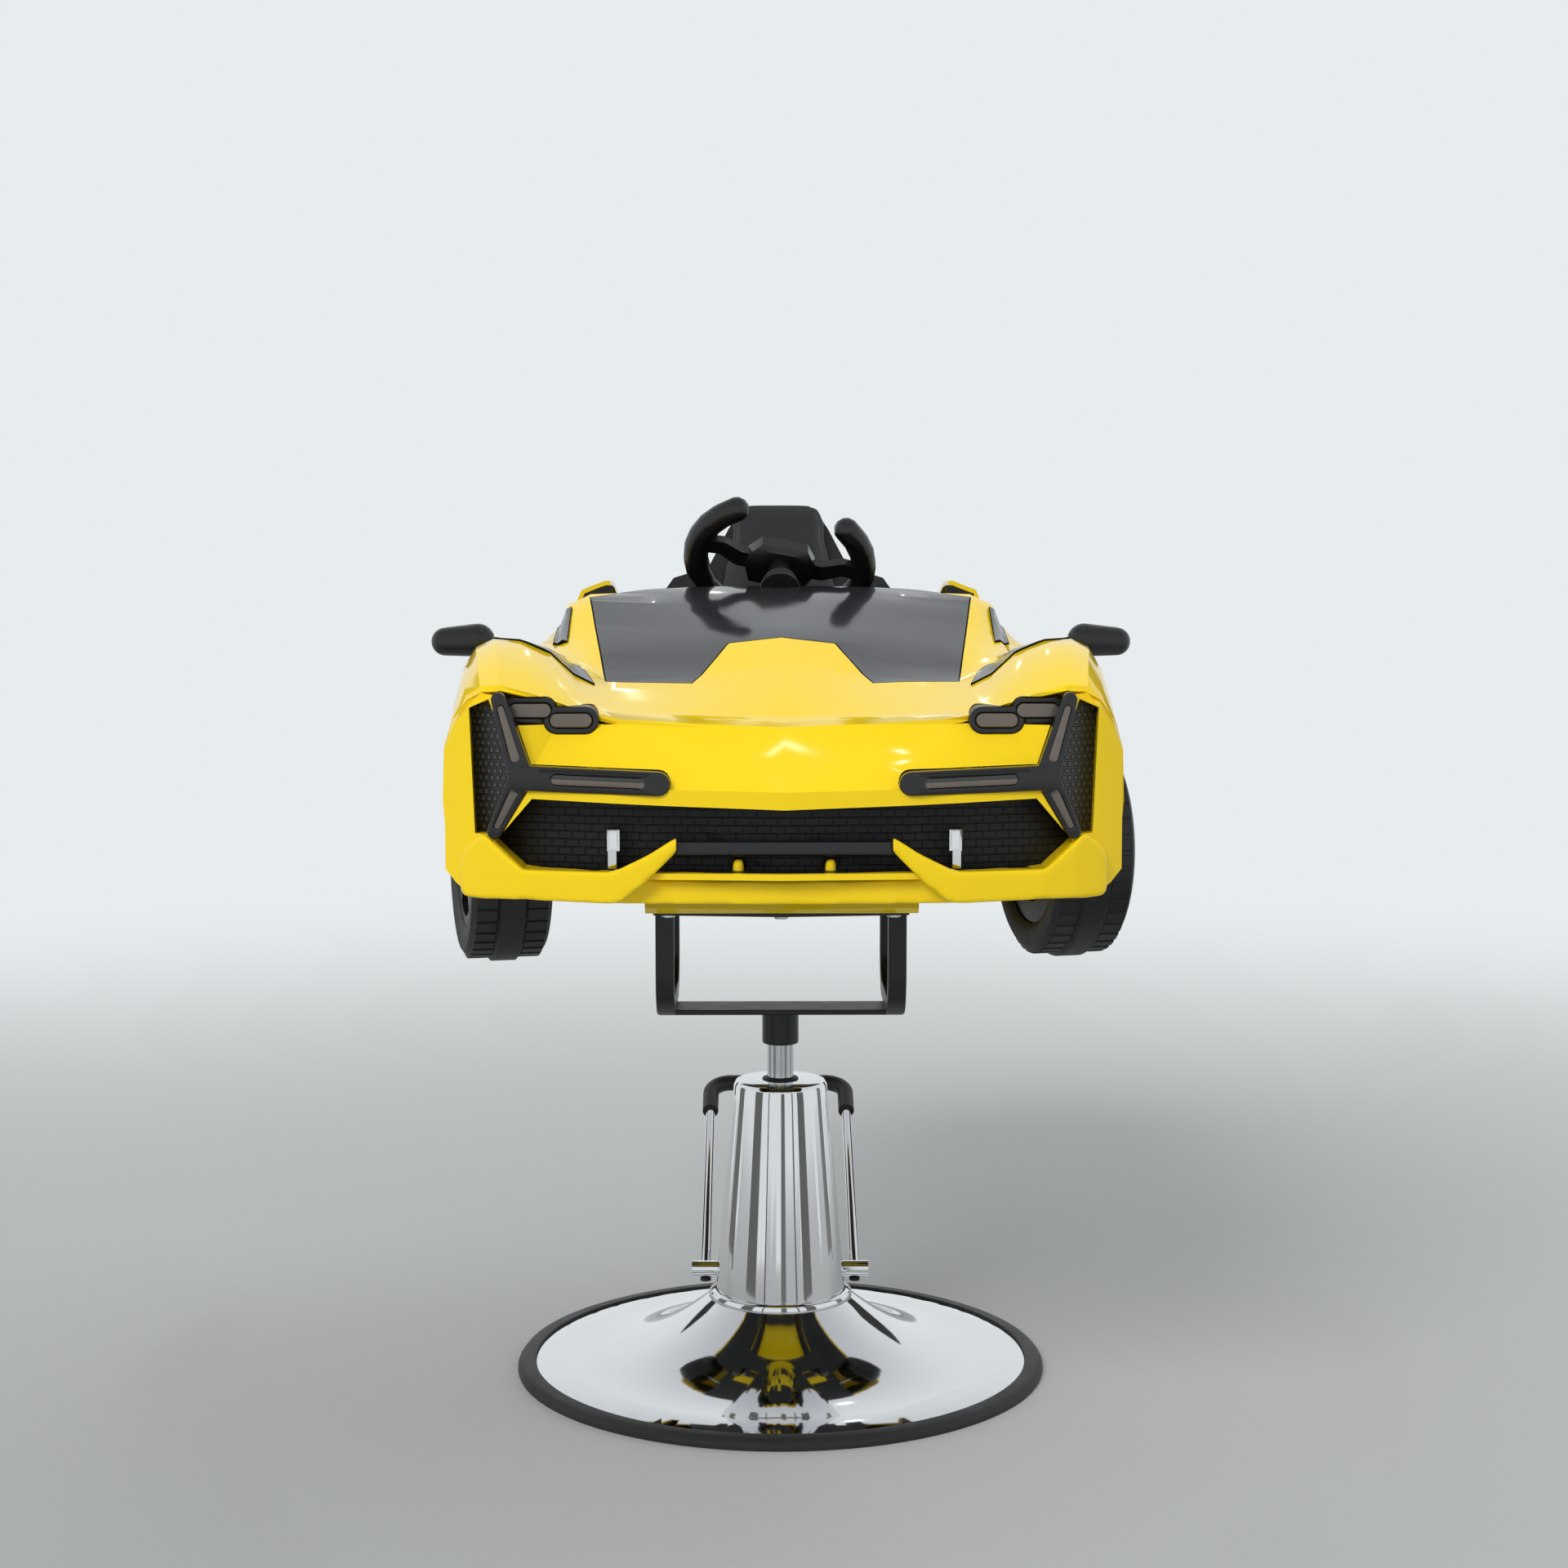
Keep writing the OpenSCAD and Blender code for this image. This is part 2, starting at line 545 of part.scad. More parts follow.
// One half of the lever's path: rod, corner and half the cross bar
module lever_half(r, from, inner_r) {
    bend = lever_bend_r;
    module solid(q, extra) {
        translate([lever_w / 2, from - extra, 0]) rotate([-90, 0, 0]) cylinder(r = q, h = lever_l - bend - from + extra);
        translate([lever_w / 2 - bend, lever_l - bend, 0]) rotate_extrude(angle = 90) translate([bend, 0]) circle(r = q);
        translate([0, lever_l, 0]) rotate([0, 90, 0]) cylinder(r = q, h = lever_w / 2 - bend);
    }
    if (inner_r == 0) solid(r, 0);
    else difference() {
        solid(r, 0);
        solid(inner_r, overrun);
    }
}

module lever_bar() {
    color("#dcdfe2") lever_frame() pair() lever_half(lever_rod_d / 2, shaft_d / 2 + 2 * run, 0);
}

module lever_grip() {
    color("#17181a") lever_frame()
        pair() lever_half(grip_d / 2, lever_l - lever_bend_r - grip_leg, lever_rod_d / 2 + run);
}

// Lift and bracket

rod_low_z = plate_h + flange_t + 60 * rod_d / 28;
socket_roof = 4;
module lift_rod() {
    color("#c3c7cc") translate([0, 0, rod_low_z]) cylinder(d = rod_d, h = socket_z + socket_h - socket_roof - rod_low_z - clear);
}

module swivel_socket() {
    color("#1a1b1d") difference() {
        translate([0, 0, socket_z]) cylinder(d = socket_d, h = socket_h);
        translate([0, 0, socket_z - overrun]) cylinder(r = rod_r + run, h = socket_h - socket_roof + overrun);
    }
}

foot_bar_z = socket_z + socket_h;
module foot_bar() {
    color("#1b1c1e") translate([-bracket_w / 2 + clear, -foot_bar_depth / 2, foot_bar_z])
        cube([bracket_w - 2 * clear, foot_bar_depth, foot_bar_t]);
}

module loop(side) {
    half = loop_depth / 2;
    inner = loop_bend_r - loop_tube_t;
    x0 = side > 0 ? bracket_w / 2 - loop_tube_w : -bracket_w / 2;
    low = foot_bar_z + foot_bar_t;
    color("#1b1c1e") {
        for (s = [-1, 1]) {
            translate([x0, s > 0 ? half - loop_tube_t : -half, low + loop_bend_r])
                cube([loop_tube_w, loop_tube_t, loop_h - loop_bend_r]);
            translate([x0, s * (half - loop_bend_r), low + loop_bend_r]) rotate([0, 90, 0]) rotate([0, 0, s > 0 ? 0 : -90])
                rotate_extrude(angle = 90) translate([inner, 0]) square([loop_tube_t, loop_tube_w]);
        }
        translate([x0, -half + loop_bend_r, low]) cube([loop_tube_w, loop_depth - 2 * loop_bend_r, loop_tube_t]);
    }
}
module loop_left() { loop(-1); }
module loop_right() { loop(1); }

frame_half_d = 128;
frame_half_w = bracket_w / 2 + 3 * clear;
// Plan outline with a bowed front edge
function bowed(half_x, front, back, bow) = concat(
    [for (i = [-6 : 6]) [half_x * i / 6, front - bow * (1 - abs(i / 6))]], [[half_x, back], [-half_x, back]]);
module top_frame() {
    w = frame_tube_w;
    front = -frame_half_d;
    color("#1b1c1e") difference() {
        plan_prism(bowed(frame_half_w, front, frame_half_d, frame_bow), frame_z, frame_z + frame_h);
        plan_prism(bowed(frame_half_w - w, front + w, frame_half_d - w, frame_bow), frame_z - overrun, frame_z + frame_h + overrun);
        for (p = bolt_places) translate([p[0], p[1], frame_z - overrun]) cylinder(r = bolt_r + clear, h = frame_h + 2 * overrun);
    }
}

bolt_r = 4;
bolt_side_x = frame_half_w - frame_tube_w / 2;
bolt_front_y = -frame_half_d + frame_tube_w / 2;
bolt_places = [[-bolt_side_x, bolt_front_y], [0, bolt_front_y - frame_bow], [bolt_side_x, bolt_front_y],
    [-bolt_side_x, -bolt_front_y], [0, -bolt_front_y], [bolt_side_x, -bolt_front_y]];
module frame_bolts() {
    head = bolt_r * 0.9;
    color("#b5b9be") for (p = bolt_places) translate([p[0], p[1], frame_z - head]) {
        cylinder(r = bolt_r * 1.8, h = head, $fn = 6);
        translate([0, 0, head]) cylinder(r = bolt_r, h = frame_h + floor_t);
    }
}

belly_front = -205;
belly_back = 190;
module belly_pan() {
    w = belly_half_w;
    low = body_z - belly_h;
    top = body_z - clear;
    color("#e7a912") difference() {
        plan_prism(bowed(w, belly_front, belly_back, frame_bow), low, top);
        plan_prism(bowed(w - floor_t, belly_front + floor_t, belly_back - floor_t, frame_bow), low + floor_t, top + overrun);
        for (p = bolt_places) translate([p[0], p[1], low - overrun]) cylinder(r = bolt_r + clear, h = floor_t + 2 * overrun);
    }
}

// Chassis

well_x = 172;
sill_x = sx(0.93) - body_wall - 1.2;
floor_rear = 500;
module chassis_floor() {
    sill = sill_x - overrun;
    arch = arch_r + 2 * floor_t;
    front_edge = -nose_reach + 95 * nose_reach / 520;
    points = [
        [well_x, front_edge], [well_x, -front_axle + arch], [sill, -front_axle + arch], [sill, rear_axle - arch],
        [well_x, rear_axle - arch], [well_x, floor_rear]
    ];
    outline = concat(points, [for (i = [len(points) - 1 : -1 : 0]) [-points[i][0], points[i][1]]]);
    color("#202124") difference() {
        union() {
            plan_prism(outline, body_z, body_z + floor_t);
            pair() translate([well_x - 4 * floor_t, rear_axle - 3 * axle_d / 2, body_z])
                cube([4 * floor_t, 3 * axle_d, axle_h + axle_d * 0.9]);
            pair() translate([well_x - 9 * floor_t, -front_axle - axle_d, body_z])
                cube([4 * floor_t, 2 * axle_d, axle_h - beam_h / 2]);
        }
        translate([0, rear_axle, axle_z]) rotate([0, 90, 0]) cylinder(r = axle_d / 2 + run, h = 2 * half_w, center = true);
    }
}

// Body outline pieces shared by the shell and its trim

function front_outline(shares) = [for (p = shares) [sx(p[0]), sz(p[1])]];
function both_sides(points) =
    concat(points, [for (i = [len(points) - 1 : -1 : 0]) if (points[i][0] > 0) [-points[i][0], points[i][1]]]);
grille_shares = [[0, 0.32], [0.71, 0.345], [0.82, 0.203], [0.735, 0.122], [0.495, 0.12], [0, 0.12]];
vent_top_share = 0.64;
vent_shares = [[0.895, 0.625], [0.835, 0.655], [0.755, 0.43], [0.835, 0.226], [0.88, 0.226]];
tail_shares = [[0, 0.66], [0.7, 0.58], [0.83, 0.5], [0.8, 0.27], [0.62, 0.2], [0, 0.2]];
screen_shares = [[0, 0.299], [0.166, 0.299], [0.274, 0.206], [0.543, 0.231], [0.643, 0.473], [0.435, 0.506],
    [0.22, 0.52], [0, 0.525]];

function plan_outline(shares) = [for (p = shares) [sx(p[0]), sy(p[1])]];
strip_shares = [[0.565, 0.188], [0.725, 0.21], [0.89, 0.24], [0.8, 0.262], [0.7, 0.262], [0.6, 0.232]];
glass_shares = [[0.69, 0.36], [0.7, 0.464], [0.748, 0.464], [0.745, 0.39]];

cockpit_half_w = 190;
cockpit_rear = 362;
cockpit_front = 2;
side_rear = door_front + door_l + 12;

// A layer on the body's skin, t thick, inside a plan outline; it lies in the skin or stands proud of it
module skin_layer(outline, t, proud) {
    up = proud ? t : 0;
    intersection() {
        plan_prism(outline, body_z + body_h * 0.3, sz(1) + 2 * t + overrun);
        difference() {
            translate([0, 0, up]) body_form();
            translate([0, 0, up - t]) body_form();
        }
    }
}

// The cockpit opening, wide in front of the haunches and narrow between them
module cockpit_cut() {
    high = sz(1) + overrun;
    r = 30 * half_w / 313;
    hull() pair() for (y = [cockpit_front + r, cockpit_rear - r])
        translate([cockpit_half_w - r, y, door_sill_z]) cylinder(r = r, h = high - door_sill_z, $fn = hull_fn);
    hull() pair() for (y = [cockpit_front + overrun, side_rear - overrun])
        translate([half_w + overrun, y, door_top_z]) cylinder(r = overrun, h = high - door_top_z, $fn = 8);
}

module door_outline(grow) {
    hinge = [door_hinge_x, door_front];
    intersection() {
        union() {
            translate([half_w * 0.6, door_front - grow]) square([half_w * 0.5, door_l * 1.1]);
            translate(hinge) circle(r = door_hinge_r + grow);
        }
        translate(hinge) circle(r = door_l + grow, $fn = 180);
    }
}

module door_space(grow) {
    translate([0, 0, door_sill_z - grow]) linear_extrude(door_top_z - door_sill_z + 2 * grow) door_outline(grow);
}

pod_places = [[0.722, 0.0665, 0.615], [0.606, 0.0645, 0.584]];
pod_w = 40;
pod_h = 15;
lens_inset = 1.4;
pod_frame = 4.8;
// A capsule lying across the car at a lamp pod's place
module pod(place, grow, back, front) {
    translate([sx(place[0]), sy(place[1]), sz(place[2])]) hull() for (s = [-1, 1])
        translate([s * (pod_w - pod_h) / 2, back, 0]) rotate([90, 0, 0])
            cylinder(r = pod_h / 2 + grow, h = back + front, $fn = hull_fn);
}

// The room under the middle of the bumper where the splitter's centre piece fits
module lip_space() {
    translate([-sx(0.49), front_y - overrun, body_z - overrun])
        cube([2 * sx(0.49), bumper_depth / 2, body_h * 0.1 + overrun]);
}

module body_shell() {
    arch_x = well_x + 6 * body_wall;
    color("#f4b81b") difference() {
        body_form();
        hollow_form();
        front_prism(both_sides(front_outline(grille_shares)), front_y - overrun, front_y + nose_sweep * 1.2);
        lip_space();
        pair() front_prism(front_outline(vent_shares), front_y - overrun, front_y + nose_sweep * 1.2);
        front_prism(both_sides(front_outline(tail_shares)), rear_y - nose_sweep * 1.2, rear_y + overrun);
        pair() for (y = [-front_axle, rear_axle])
            translate([arch_x, y, axle_z]) rotate([0, 90, 0]) cylinder(r = arch_r, h = half_w, $fn = 48);
        pair() for (y = [-front_axle, rear_axle])
            translate([arch_x, y - arch_r, body_z - belly_h]) cube([half_w, 2 * arch_r, belly_h + axle_h]);
        skin_layer(both_sides(plan_outline(screen_shares)), screen_t, false);
        cockpit_cut();
        pair() door_space(1.5 * clear);
        pair() translate([door_hinge_x, door_front, door_sill_z - 1.5 * clear])
            cylinder(r = door_hinge_r + door_shut_gap, h = door_top_z - door_sill_z + 3 * clear);
        pair() for (p = pod_places) pod(p, pod_frame + clear, 3 * pod_h, pod_h);
        pair() for (e = arm_ends) arm(e, clear, 2 * arm_depth, 5 * arm_depth);
    }
}

module windscreen_panel() {
    color("#3a3c40") difference() {
        skin_layer(both_sides(plan_outline(screen_shares)), screen_t, false);
        column_line() cylinder(r = column_d / 2 + 2 * clear, h = 40 * body_l, center = true);
    }
}

module side_glass() {
    color("#222327") pair() skin_layer(plan_outline(glass_shares), trim_t, true);
}

module fender_strips() {
    color("#2a2b2e") difference() {
        pair() skin_layer(plan_outline(strip_shares), trim_t, true);
        body_shell();
    }
}

// Nose

// A black tray behind an opening in the nose: its rim sits on the back of the bumper wall
tray_rim = 5;
module nose_tray(outline, depth) {
    near = front_y - overrun;
    far = front_y + 2.5 * nose_sweep;
    difference() {
        intersection() {
            front_prism(offset_outline(outline, tray_rim), near, far);
            nose_layer(nose_step + body_wall, depth + grille_t);
        }
        intersection() {
            front_prism(outline, near - overrun, far);
            translate([0, -overrun, 0]) nose_layer(0, depth + overrun);
        }
    }
}
// An outline grown by d, away from its own middle
function offset_outline(points, d) =
    let (n = len(points), mid = [for (k = [0, 1]) (min([for (p = points) p[k]]) + max([for (p = points) p[k]])) / 2],
        size = [for (k = [0, 1]) max([for (p = points) p[k]]) - mid[k]])
    [for (p = points) [for (k = [0, 1]) mid[k] + (p[k] - mid[k]) * (1 + d / size[k])]];

module nose_grille() {
    color("#151617") difference() {
        nose_tray(both_sides(front_outline(grille_shares)), grille_recess);
        body_shell();
        front_splitter();
        light_room();
    }
}

bar_half_w = 97;
bar_h = 13;
module grille_bar() {
    color("#232427") difference() {
        translate([-bar_half_w, front_y + grille_recess - bar_h, sz(0.168)]) cube([2 * bar_half_w, 3 * bar_h, bar_h]);
        translate([0, grille_recess, 0]) body_form();
    }
}

module corner_vents() {
    color("#18191b") difference() {
        pair() nose_tray(front_outline(vent_shares), 3 * body_wall);
        body_shell();
        light_room();
        translate([-half_w, front_y, sz(vent_top_share)]) cube([2 * half_w, front_axle, body_h]);
    }
}

joint_share = [0.74, 0.41];
// Ends of the arms of each light, with the share of the width left there
arm_ends = [[0.352, 0.4, 0.95], [0.806, 0.655, 0.58], [0.82, 0.235, 0.6]];
function nose_point(share, lift) = let (x = sx(share[0])) [x, nose_y(x) - lift, sz(share[1])];
// One arm of the light, from its joint outwards; from and to are shares of its length
module arm(end, grow, lift, back, from = 0, to = 1, slim = 1) {
    hull() for (t = [from, to])
        translate(nose_point(joint_share + ([end[0], end[1]] - joint_share) * t, lift)) rotate([-90, 0, 0])
            cylinder(r = arm_w / 2 * (1 + (end[2] - 1) * t) * slim + grow, h = back, $fn = 16);
}
arm_lift = 4;
groove = 4;
// The room that the lights take in what stands behind them, open to the front
module light_room() {
    pair() for (e = arm_ends) arm(e, 2.6 * clear, 5 * arm_depth, 6 * arm_depth + clear - arm_lift);
}
module light_surrounds() {
    color("#26272a") pair() difference() {
        for (e = arm_ends) arm(e, 0, arm_lift, arm_depth);
        for (e = arm_ends) arm(e, 0, arm_lift + overrun, groove + overrun, 0.26, 0.88, 0.45);
    }
}

module light_lenses() {
    color("#6b5a4a") pair() for (e = arm_ends) arm(e, -clear, arm_lift - overrun, groove - overrun - clear, 0.26, 0.88, 0.45);
}

module headlamp_housings() {
    color("#1d1e20") pair() difference() {
        for (p = pod_places) pod(p, pod_frame, 2 * pod_h, 0.1 * pod_h);
        for (p = pod_places) pod(p, clear - lens_inset, 0.9 * pod_h, pod_h);
    }
}

module headlamp_lenses() {
    color("#6d6258") pair() for (p = pod_places) pod(p, -lens_inset, 0.8 * pod_h, 0.35 * pod_h);
}

lip_shares = [[0.925, 0.04, 0.14], [0.91, 0.022, 0.18], [0.852, 0.02, 0.232], [0.82, 0.024, 0.203], [0.735, 0.028, 0.123],
    [0.495, 0.024, 0.124], [0.46, 0.028, 0.135], [0.38, 0.1, 0.18], [0.3, 0.19, 0.237]];
peg_share = 0.13;
module front_splitter() {
    proud = 9 * lip_depth / 42;
    bar_front = front_y + 1.6 * proud;
    color("#f2b318") {
        difference() {
            union() {
                pair() ribbon([for (s = lip_shares)
                    [-sx(s[0]), sz(s[1]), sz(s[2]), nose_y(sx(s[0])) - proud * min(1, 1.2 - s[2]), lip_depth]]);
                ribbon([for (s = [[-0.485, 1], [-0.3, 0.4], [0, 0], [0.3, 0.4], [0.485, 1]])
                    [sx(s[0]), sz(0.018), sz(0.094), bar_front + s[1] * proud, lip_depth * 0.8]]);
            }
            difference() {
                body_form();
                lip_space();
            }
        }
        pair() translate([sx(peg_share), bar_front + 2 * proud, sz(0.09)]) {
            cylinder(r = peg_r, h = peg_h, $fn = 24);
            translate([0, 0, peg_h]) sphere(r = peg_r, $fn = 24);
        }
    }
}
peg_r = 5.5;
peg_h = 14;

module tow_hooks() {
    h = 35 * body_h / 280;
    w = 11;
    x = 150 * half_w / 313;
    color("#cfd3d6") difference() {
        pair() translate([x - w / 2, nose_y(x) + 6 * w / 11, sz(0.128)]) rotate([90, 0, 90]) linear_extrude(w)
            polygon([[0, h * 0.45], [-w * 0.2, h], [w * 4, h], [w * 4, 0], [w * 0.5, 0]]);
        translate([0, grille_recess, 0]) body_form();
    }
}

mirror_x = 322;
mirror_y = -124;
mirror_z_h = 223;
mirror_half_w = 34;
mirror_half_h = 17;
module mirror_shell(grow) {
    hull() {
        translate([-mirror_half_w * 0.45, 0, 0]) scale(mirror_half_h + grow) sphere(r = 1, $fn = 20);
        translate([mirror_half_w * 0.55, mirror_half_h * 0.3, -mirror_half_h * 0.1]) scale(mirror_half_h * 0.85 + grow) sphere(r = 1, $fn = 20);
    }
}
module mirrors() {
    cut_y = mirror_half_h * 0.75;
    color("#1b1c1f") pair() difference() {
        union() {
            translate([mirror_x, mirror_y, body_z + mirror_z_h]) mirror_shell(0);
            hull() {
                translate([mirror_x - mirror_half_w * 0.5, mirror_y, body_z + mirror_z_h - mirror_half_h * 0.3]) sphere(r = mirror_half_h * 0.5, $fn = 12);
                translate([sx(0.87), mirror_y - mirror_half_h, sz(0.765)]) sphere(r = mirror_half_h * 0.5, $fn = 12);
            }
        }
        translate([mirror_x - 2 * mirror_half_w, mirror_y + cut_y, body_z]) cube([4 * mirror_half_w, mirror_half_w, body_h * 2]);
        body_form();
    }
}

module mirror_glass() {
    cut_y = mirror_half_h * 0.75;
    color("#c9d2d8") pair() translate([mirror_x, mirror_y + cut_y, body_z + mirror_z_h]) rotate([-90, 0, 0])
        hull() for (s = [-1, 1]) translate([s * mirror_half_w * 0.45, 0, 0]) cylinder(r = mirror_half_h * 0.5, h = trim_t, $fn = hull_fn);
}

// Cockpit

tub_half_w = cockpit_half_w - clear - body_wall / 4;
tub_wall = 4;
tub_floor_z = axle_z + axle_d / 2 + 2 * tub_wall;
tub_front = -115;
dash_y = cockpit_front - 2 * tub_wall;
shelf_z = door_top_z - 2 * tub_wall;
// Places of the tub's pillars along its length
pillar_shares = [0.115, 0.713];
module cockpit_tub() {
    high = sz(0.88);
    under_hood = sz(0.6);
    inner = tub_half_w - tub_wall;
    color("#1d1e21") difference() {
        union() {
            translate([-tub_half_w, tub_front, tub_floor_z]) cube([2 * tub_half_w, cockpit_rear - tub_front - tub_wall, high - tub_floor_z]);
            for (x = [-1, 1], share = pillar_shares)
                translate([x * tub_half_w * 0.7, tub_front + share * (cockpit_rear - tub_front), body_z + floor_t])
                cylinder(r = 4 * tub_wall, h = tub_floor_z - body_z - floor_t);
            translate([-half_w * 0.72, cockpit_front + tub_wall, shelf_z]) cube([half_w * 1.44, side_rear - cockpit_front - 2 * tub_wall, tub_wall]);
        }
        translate([-inner, tub_front + tub_wall, tub_floor_z + tub_wall])
            cube([2 * inner, cockpit_rear - tub_front - 3 * tub_wall, high]);
        translate([-half_w, tub_front - overrun, under_hood]) cube([2 * half_w, cockpit_front - tub_front + overrun, body_h]);
        translate([-half_w, tub_front - overrun, shelf_z + tub_wall]) cube([2 * half_w, side_rear - tub_front + overrun, body_h]);
        column_line() translate([0, 0, -column_below - arm_l]) cylinder(d = column_d * 3, h = column_below);
    }
}

module dash_panel() {
    hub_r = column_d * 1.6;
    color("#1f2023") difference() {
        intersection() {
            body_form(body_wall + clear, 0);
            translate([-half_w * 0.85, dash_y - tub_wall, sz(0.62)]) cube([half_w * 1.7, 2 * tub_wall, body_h]);
        }
        pair() translate([door_hinge_x - door_t * 2, door_front - door_t, body_z]) cube([half_w, door_l, body_h]);
        pair() translate([half_w * 0.7, door_front - door_t, body_z]) cube([half_w, door_l, door_top_z - body_z + 2 * clear]);
        column_line() cylinder(r = column_d / 2 + 2 * clear, h = 40 * body_l, center = true);
    }
}

module haunch_panels() {
    color("#1c1d20") difference() {
        intersection() {
            body_form(body_wall + clear, 0);
            translate([-half_w * 0.84, side_rear + clear, door_sill_z + body_h * 0.3]) cube([half_w * 1.68, tub_wall, body_h]);
        }
        translate([-tub_half_w - clear, side_rear - overrun, body_z]) cube([2 * (tub_half_w + clear), 3 * tub_wall, 2 * body_h]);
    }
}

// Seat

seat_z = tub_floor_z + tub_wall;
seat_front = 95;
seat_back_y = 268;
back_h = body_z + seat_top_h - seat_z;
shell_t = 22;
back_shares = [[0, 0.965], [0.36, 0.955], [0.43, 0.91], [0.6, 0.77], [0.9, 0.73], [1, 0.67], [1, 0.2], [0.9, 0]];
// Places on the seat back, leaning with it
module back_frame() {
    translate([0, seat_back_y, seat_z]) rotate([-seat_lean, 0, 0]) children();
}
module seat_shell() {
    wing_w = 0.55 * bolster;
    foot = shell_t * sin(seat_lean) + pan_h / 8;
    side_x = seat_half_w - wing_w - clear;
    points = [for (p = back_shares) [p[0] * seat_half_w, max(foot, p[1] * back_h)]];
    outline = concat(points, [for (i = [len(points) - 1 : -1 : 1]) [-points[i][0], points[i][1]]]);
    color("#232427") {
        back_frame() translate([0, shell_t, 0]) rotate([90, 0, 0]) linear_extrude(shell_t) polygon(outline);
        pair() back_frame() translate([side_x, -bolster, foot])
            cube([wing_w, bolster + shell_t / 2, back_h * 0.66 - foot]);
        pair() translate([side_x + clear, seat_front + clear, seat_z + pan_h / 2])
            cube([wing_w - 2 * clear, seat_back_y - seat_front, pan_h / 2 + bolster]);
        translate([-seat_half_w, seat_front, seat_z])
            cube([2 * seat_half_w, seat_back_y - seat_front + shell_t + pan_h / 8, pan_h]);
    }
}
bolster = 34;
pan_h = 30;

// A crowned cushion: rows from one end to the other, each [place, half width, half thickness]
module pillow(rows) {
    n = 20;
    function ring(r) = [for (i = [0 : n - 1]) let (a = 360 * i / n, c = cos(a), s = sin(a))
        [r[1] * sign(c) * pow(abs(c), 0.55), r[2] * sign(s) * pow(abs(s), 0.8), r[0]]];
    points = [for (r = rows) each ring(r)];
    last = (len(rows) - 1) * n;
    sides = [for (r = [0 : len(rows) - 2]) for (i = [0 : n - 1])
        let (j = (i + 1) % n, a = r * n, b = a + n)
        each [[a + i, a + j, b + i], [a + j, b + j, b + i]]];
    polyhedron(points, concat(sides, [[for (i = [n - 1 : -1 : 0]) i], [for (i = [0 : n - 1]) last + i]]));
}

pillow_shares = [[0, 0.62, 0.3], [0.015, 0.8, 0.6], [0.06, 0.94, 0.86], [0.15, 0.99, 0.97], [0.35, 1, 1], [0.6, 1, 1],
    [0.82, 0.99, 0.97], [0.93, 0.95, 0.86], [0.985, 0.82, 0.6], [1, 0.64, 0.3]];
module seat_cushion() {
    l = seat_back_y - seat_front - 3 * clear;
    w = seat_half_w - 20 * seat_half_w / 137;
    color("#2a2b2f") translate([0, seat_front + l, seat_z + pan_h + cushion_t / 2 + clear]) rotate([90, 0, 0])
        pillow([for (s = pillow_shares) [s[0] * l, s[1] * w, s[2] * cushion_t / 2]]);
}

back_width_shares = [[0, 0.62], [0.2, 0.78], [0.48, 0.74], [0.62, 0.5], [0.8, 0.44], [1, 0.42]];
module back_cushion() {
    low = pan_h + cushion_t + 3 * clear;
    l = back_h - low;
    w = seat_half_w * 0.99;
    color("#2a2b2f") back_frame() translate([0, -cushion_t / 2 - clear, low])
        pillow([for (s = pillow_shares) [s[0] * l, s[1] * w * lookup(s[0], back_width_shares), s[2] * cushion_t / 2]]);
}

// Tail

tail_t = 8;
module tail_block(back) {
    translate([0, -1.5 * body_wall - 4 * clear - back, 0]) body_form();
}
module rear_trim() {
    outline = both_sides(front_outline(tail_shares));
    blade = grille_t;
    color("#1b1c1f") {
        difference() {
            intersection() {
                front_prism(offset_outline(outline, tray_rim), rear_y - 2 * nose_sweep, rear_y);
                difference() {
                    tail_block(0);
                    tail_block(tail_t);
                }
            }
            body_shell();
        }
        difference() {
            union() {
                for (i = [-2 : 2]) translate([i * half_w * 0.22 - blade / 2, rear_y - 1.2 * nose_sweep, sz(0.205)])
                    cube([blade, nose_sweep, body_h * 0.12]);
                translate([-half_w * 0.62, rear_y - 1.2 * nose_sweep, sz(0.34)]) cube([half_w * 1.24, nose_sweep, blade]);
            }
            tail_block(tail_t);
        }
    }
}

module tail_lights() {
    color("#8c1713") difference() {
        pair() for (i = [0, 1]) translate([half_w * 0.36 + i * half_w * 0.2, rear_y - 1.2 * nose_sweep, sz(0.46)])
            cube([half_w * 0.17, 1.2 * nose_sweep - tail_t * i, body_h * 0.06]);
        tail_block(0);
    }
}

// Running gear

beam_h = 22;
sleeve_d = 24;
module front_axle_beam() {
    color("#303236") difference() {
        union() {
            translate([-kingpin_x + sleeve_d / 3, -front_axle - beam_h / 2, axle_z - beam_h / 2]) cube([2 * kingpin_x - sleeve_d * 2 / 3, beam_h, beam_h]);
            pair() translate([kingpin_x, -front_axle, axle_z - beam_h / 2]) cylinder(d = sleeve_d, h = beam_h);
        }
        pair() translate([kingpin_x, -front_axle, axle_z - beam_h]) cylinder(r = axle_d / 2 + run, h = 2 * beam_h);
    }
}

hub_l = tyre_w * 0.46;
module rear_axle_rod() {
    color("#b9bdc2") translate([0, rear_axle, axle_z]) rotate([0, 90, 0]) cylinder(d = axle_d, h = track + tyre_w * 0.9, center = true);
}

// Places a front wheel's pieces, turned about the kingpin; side is 1 on the right and -1 on the left
module on_knuckle(side) {
    translate([side * kingpin_x, -front_axle, axle_z]) rotate([0, 0, steer_turn]) children();
}

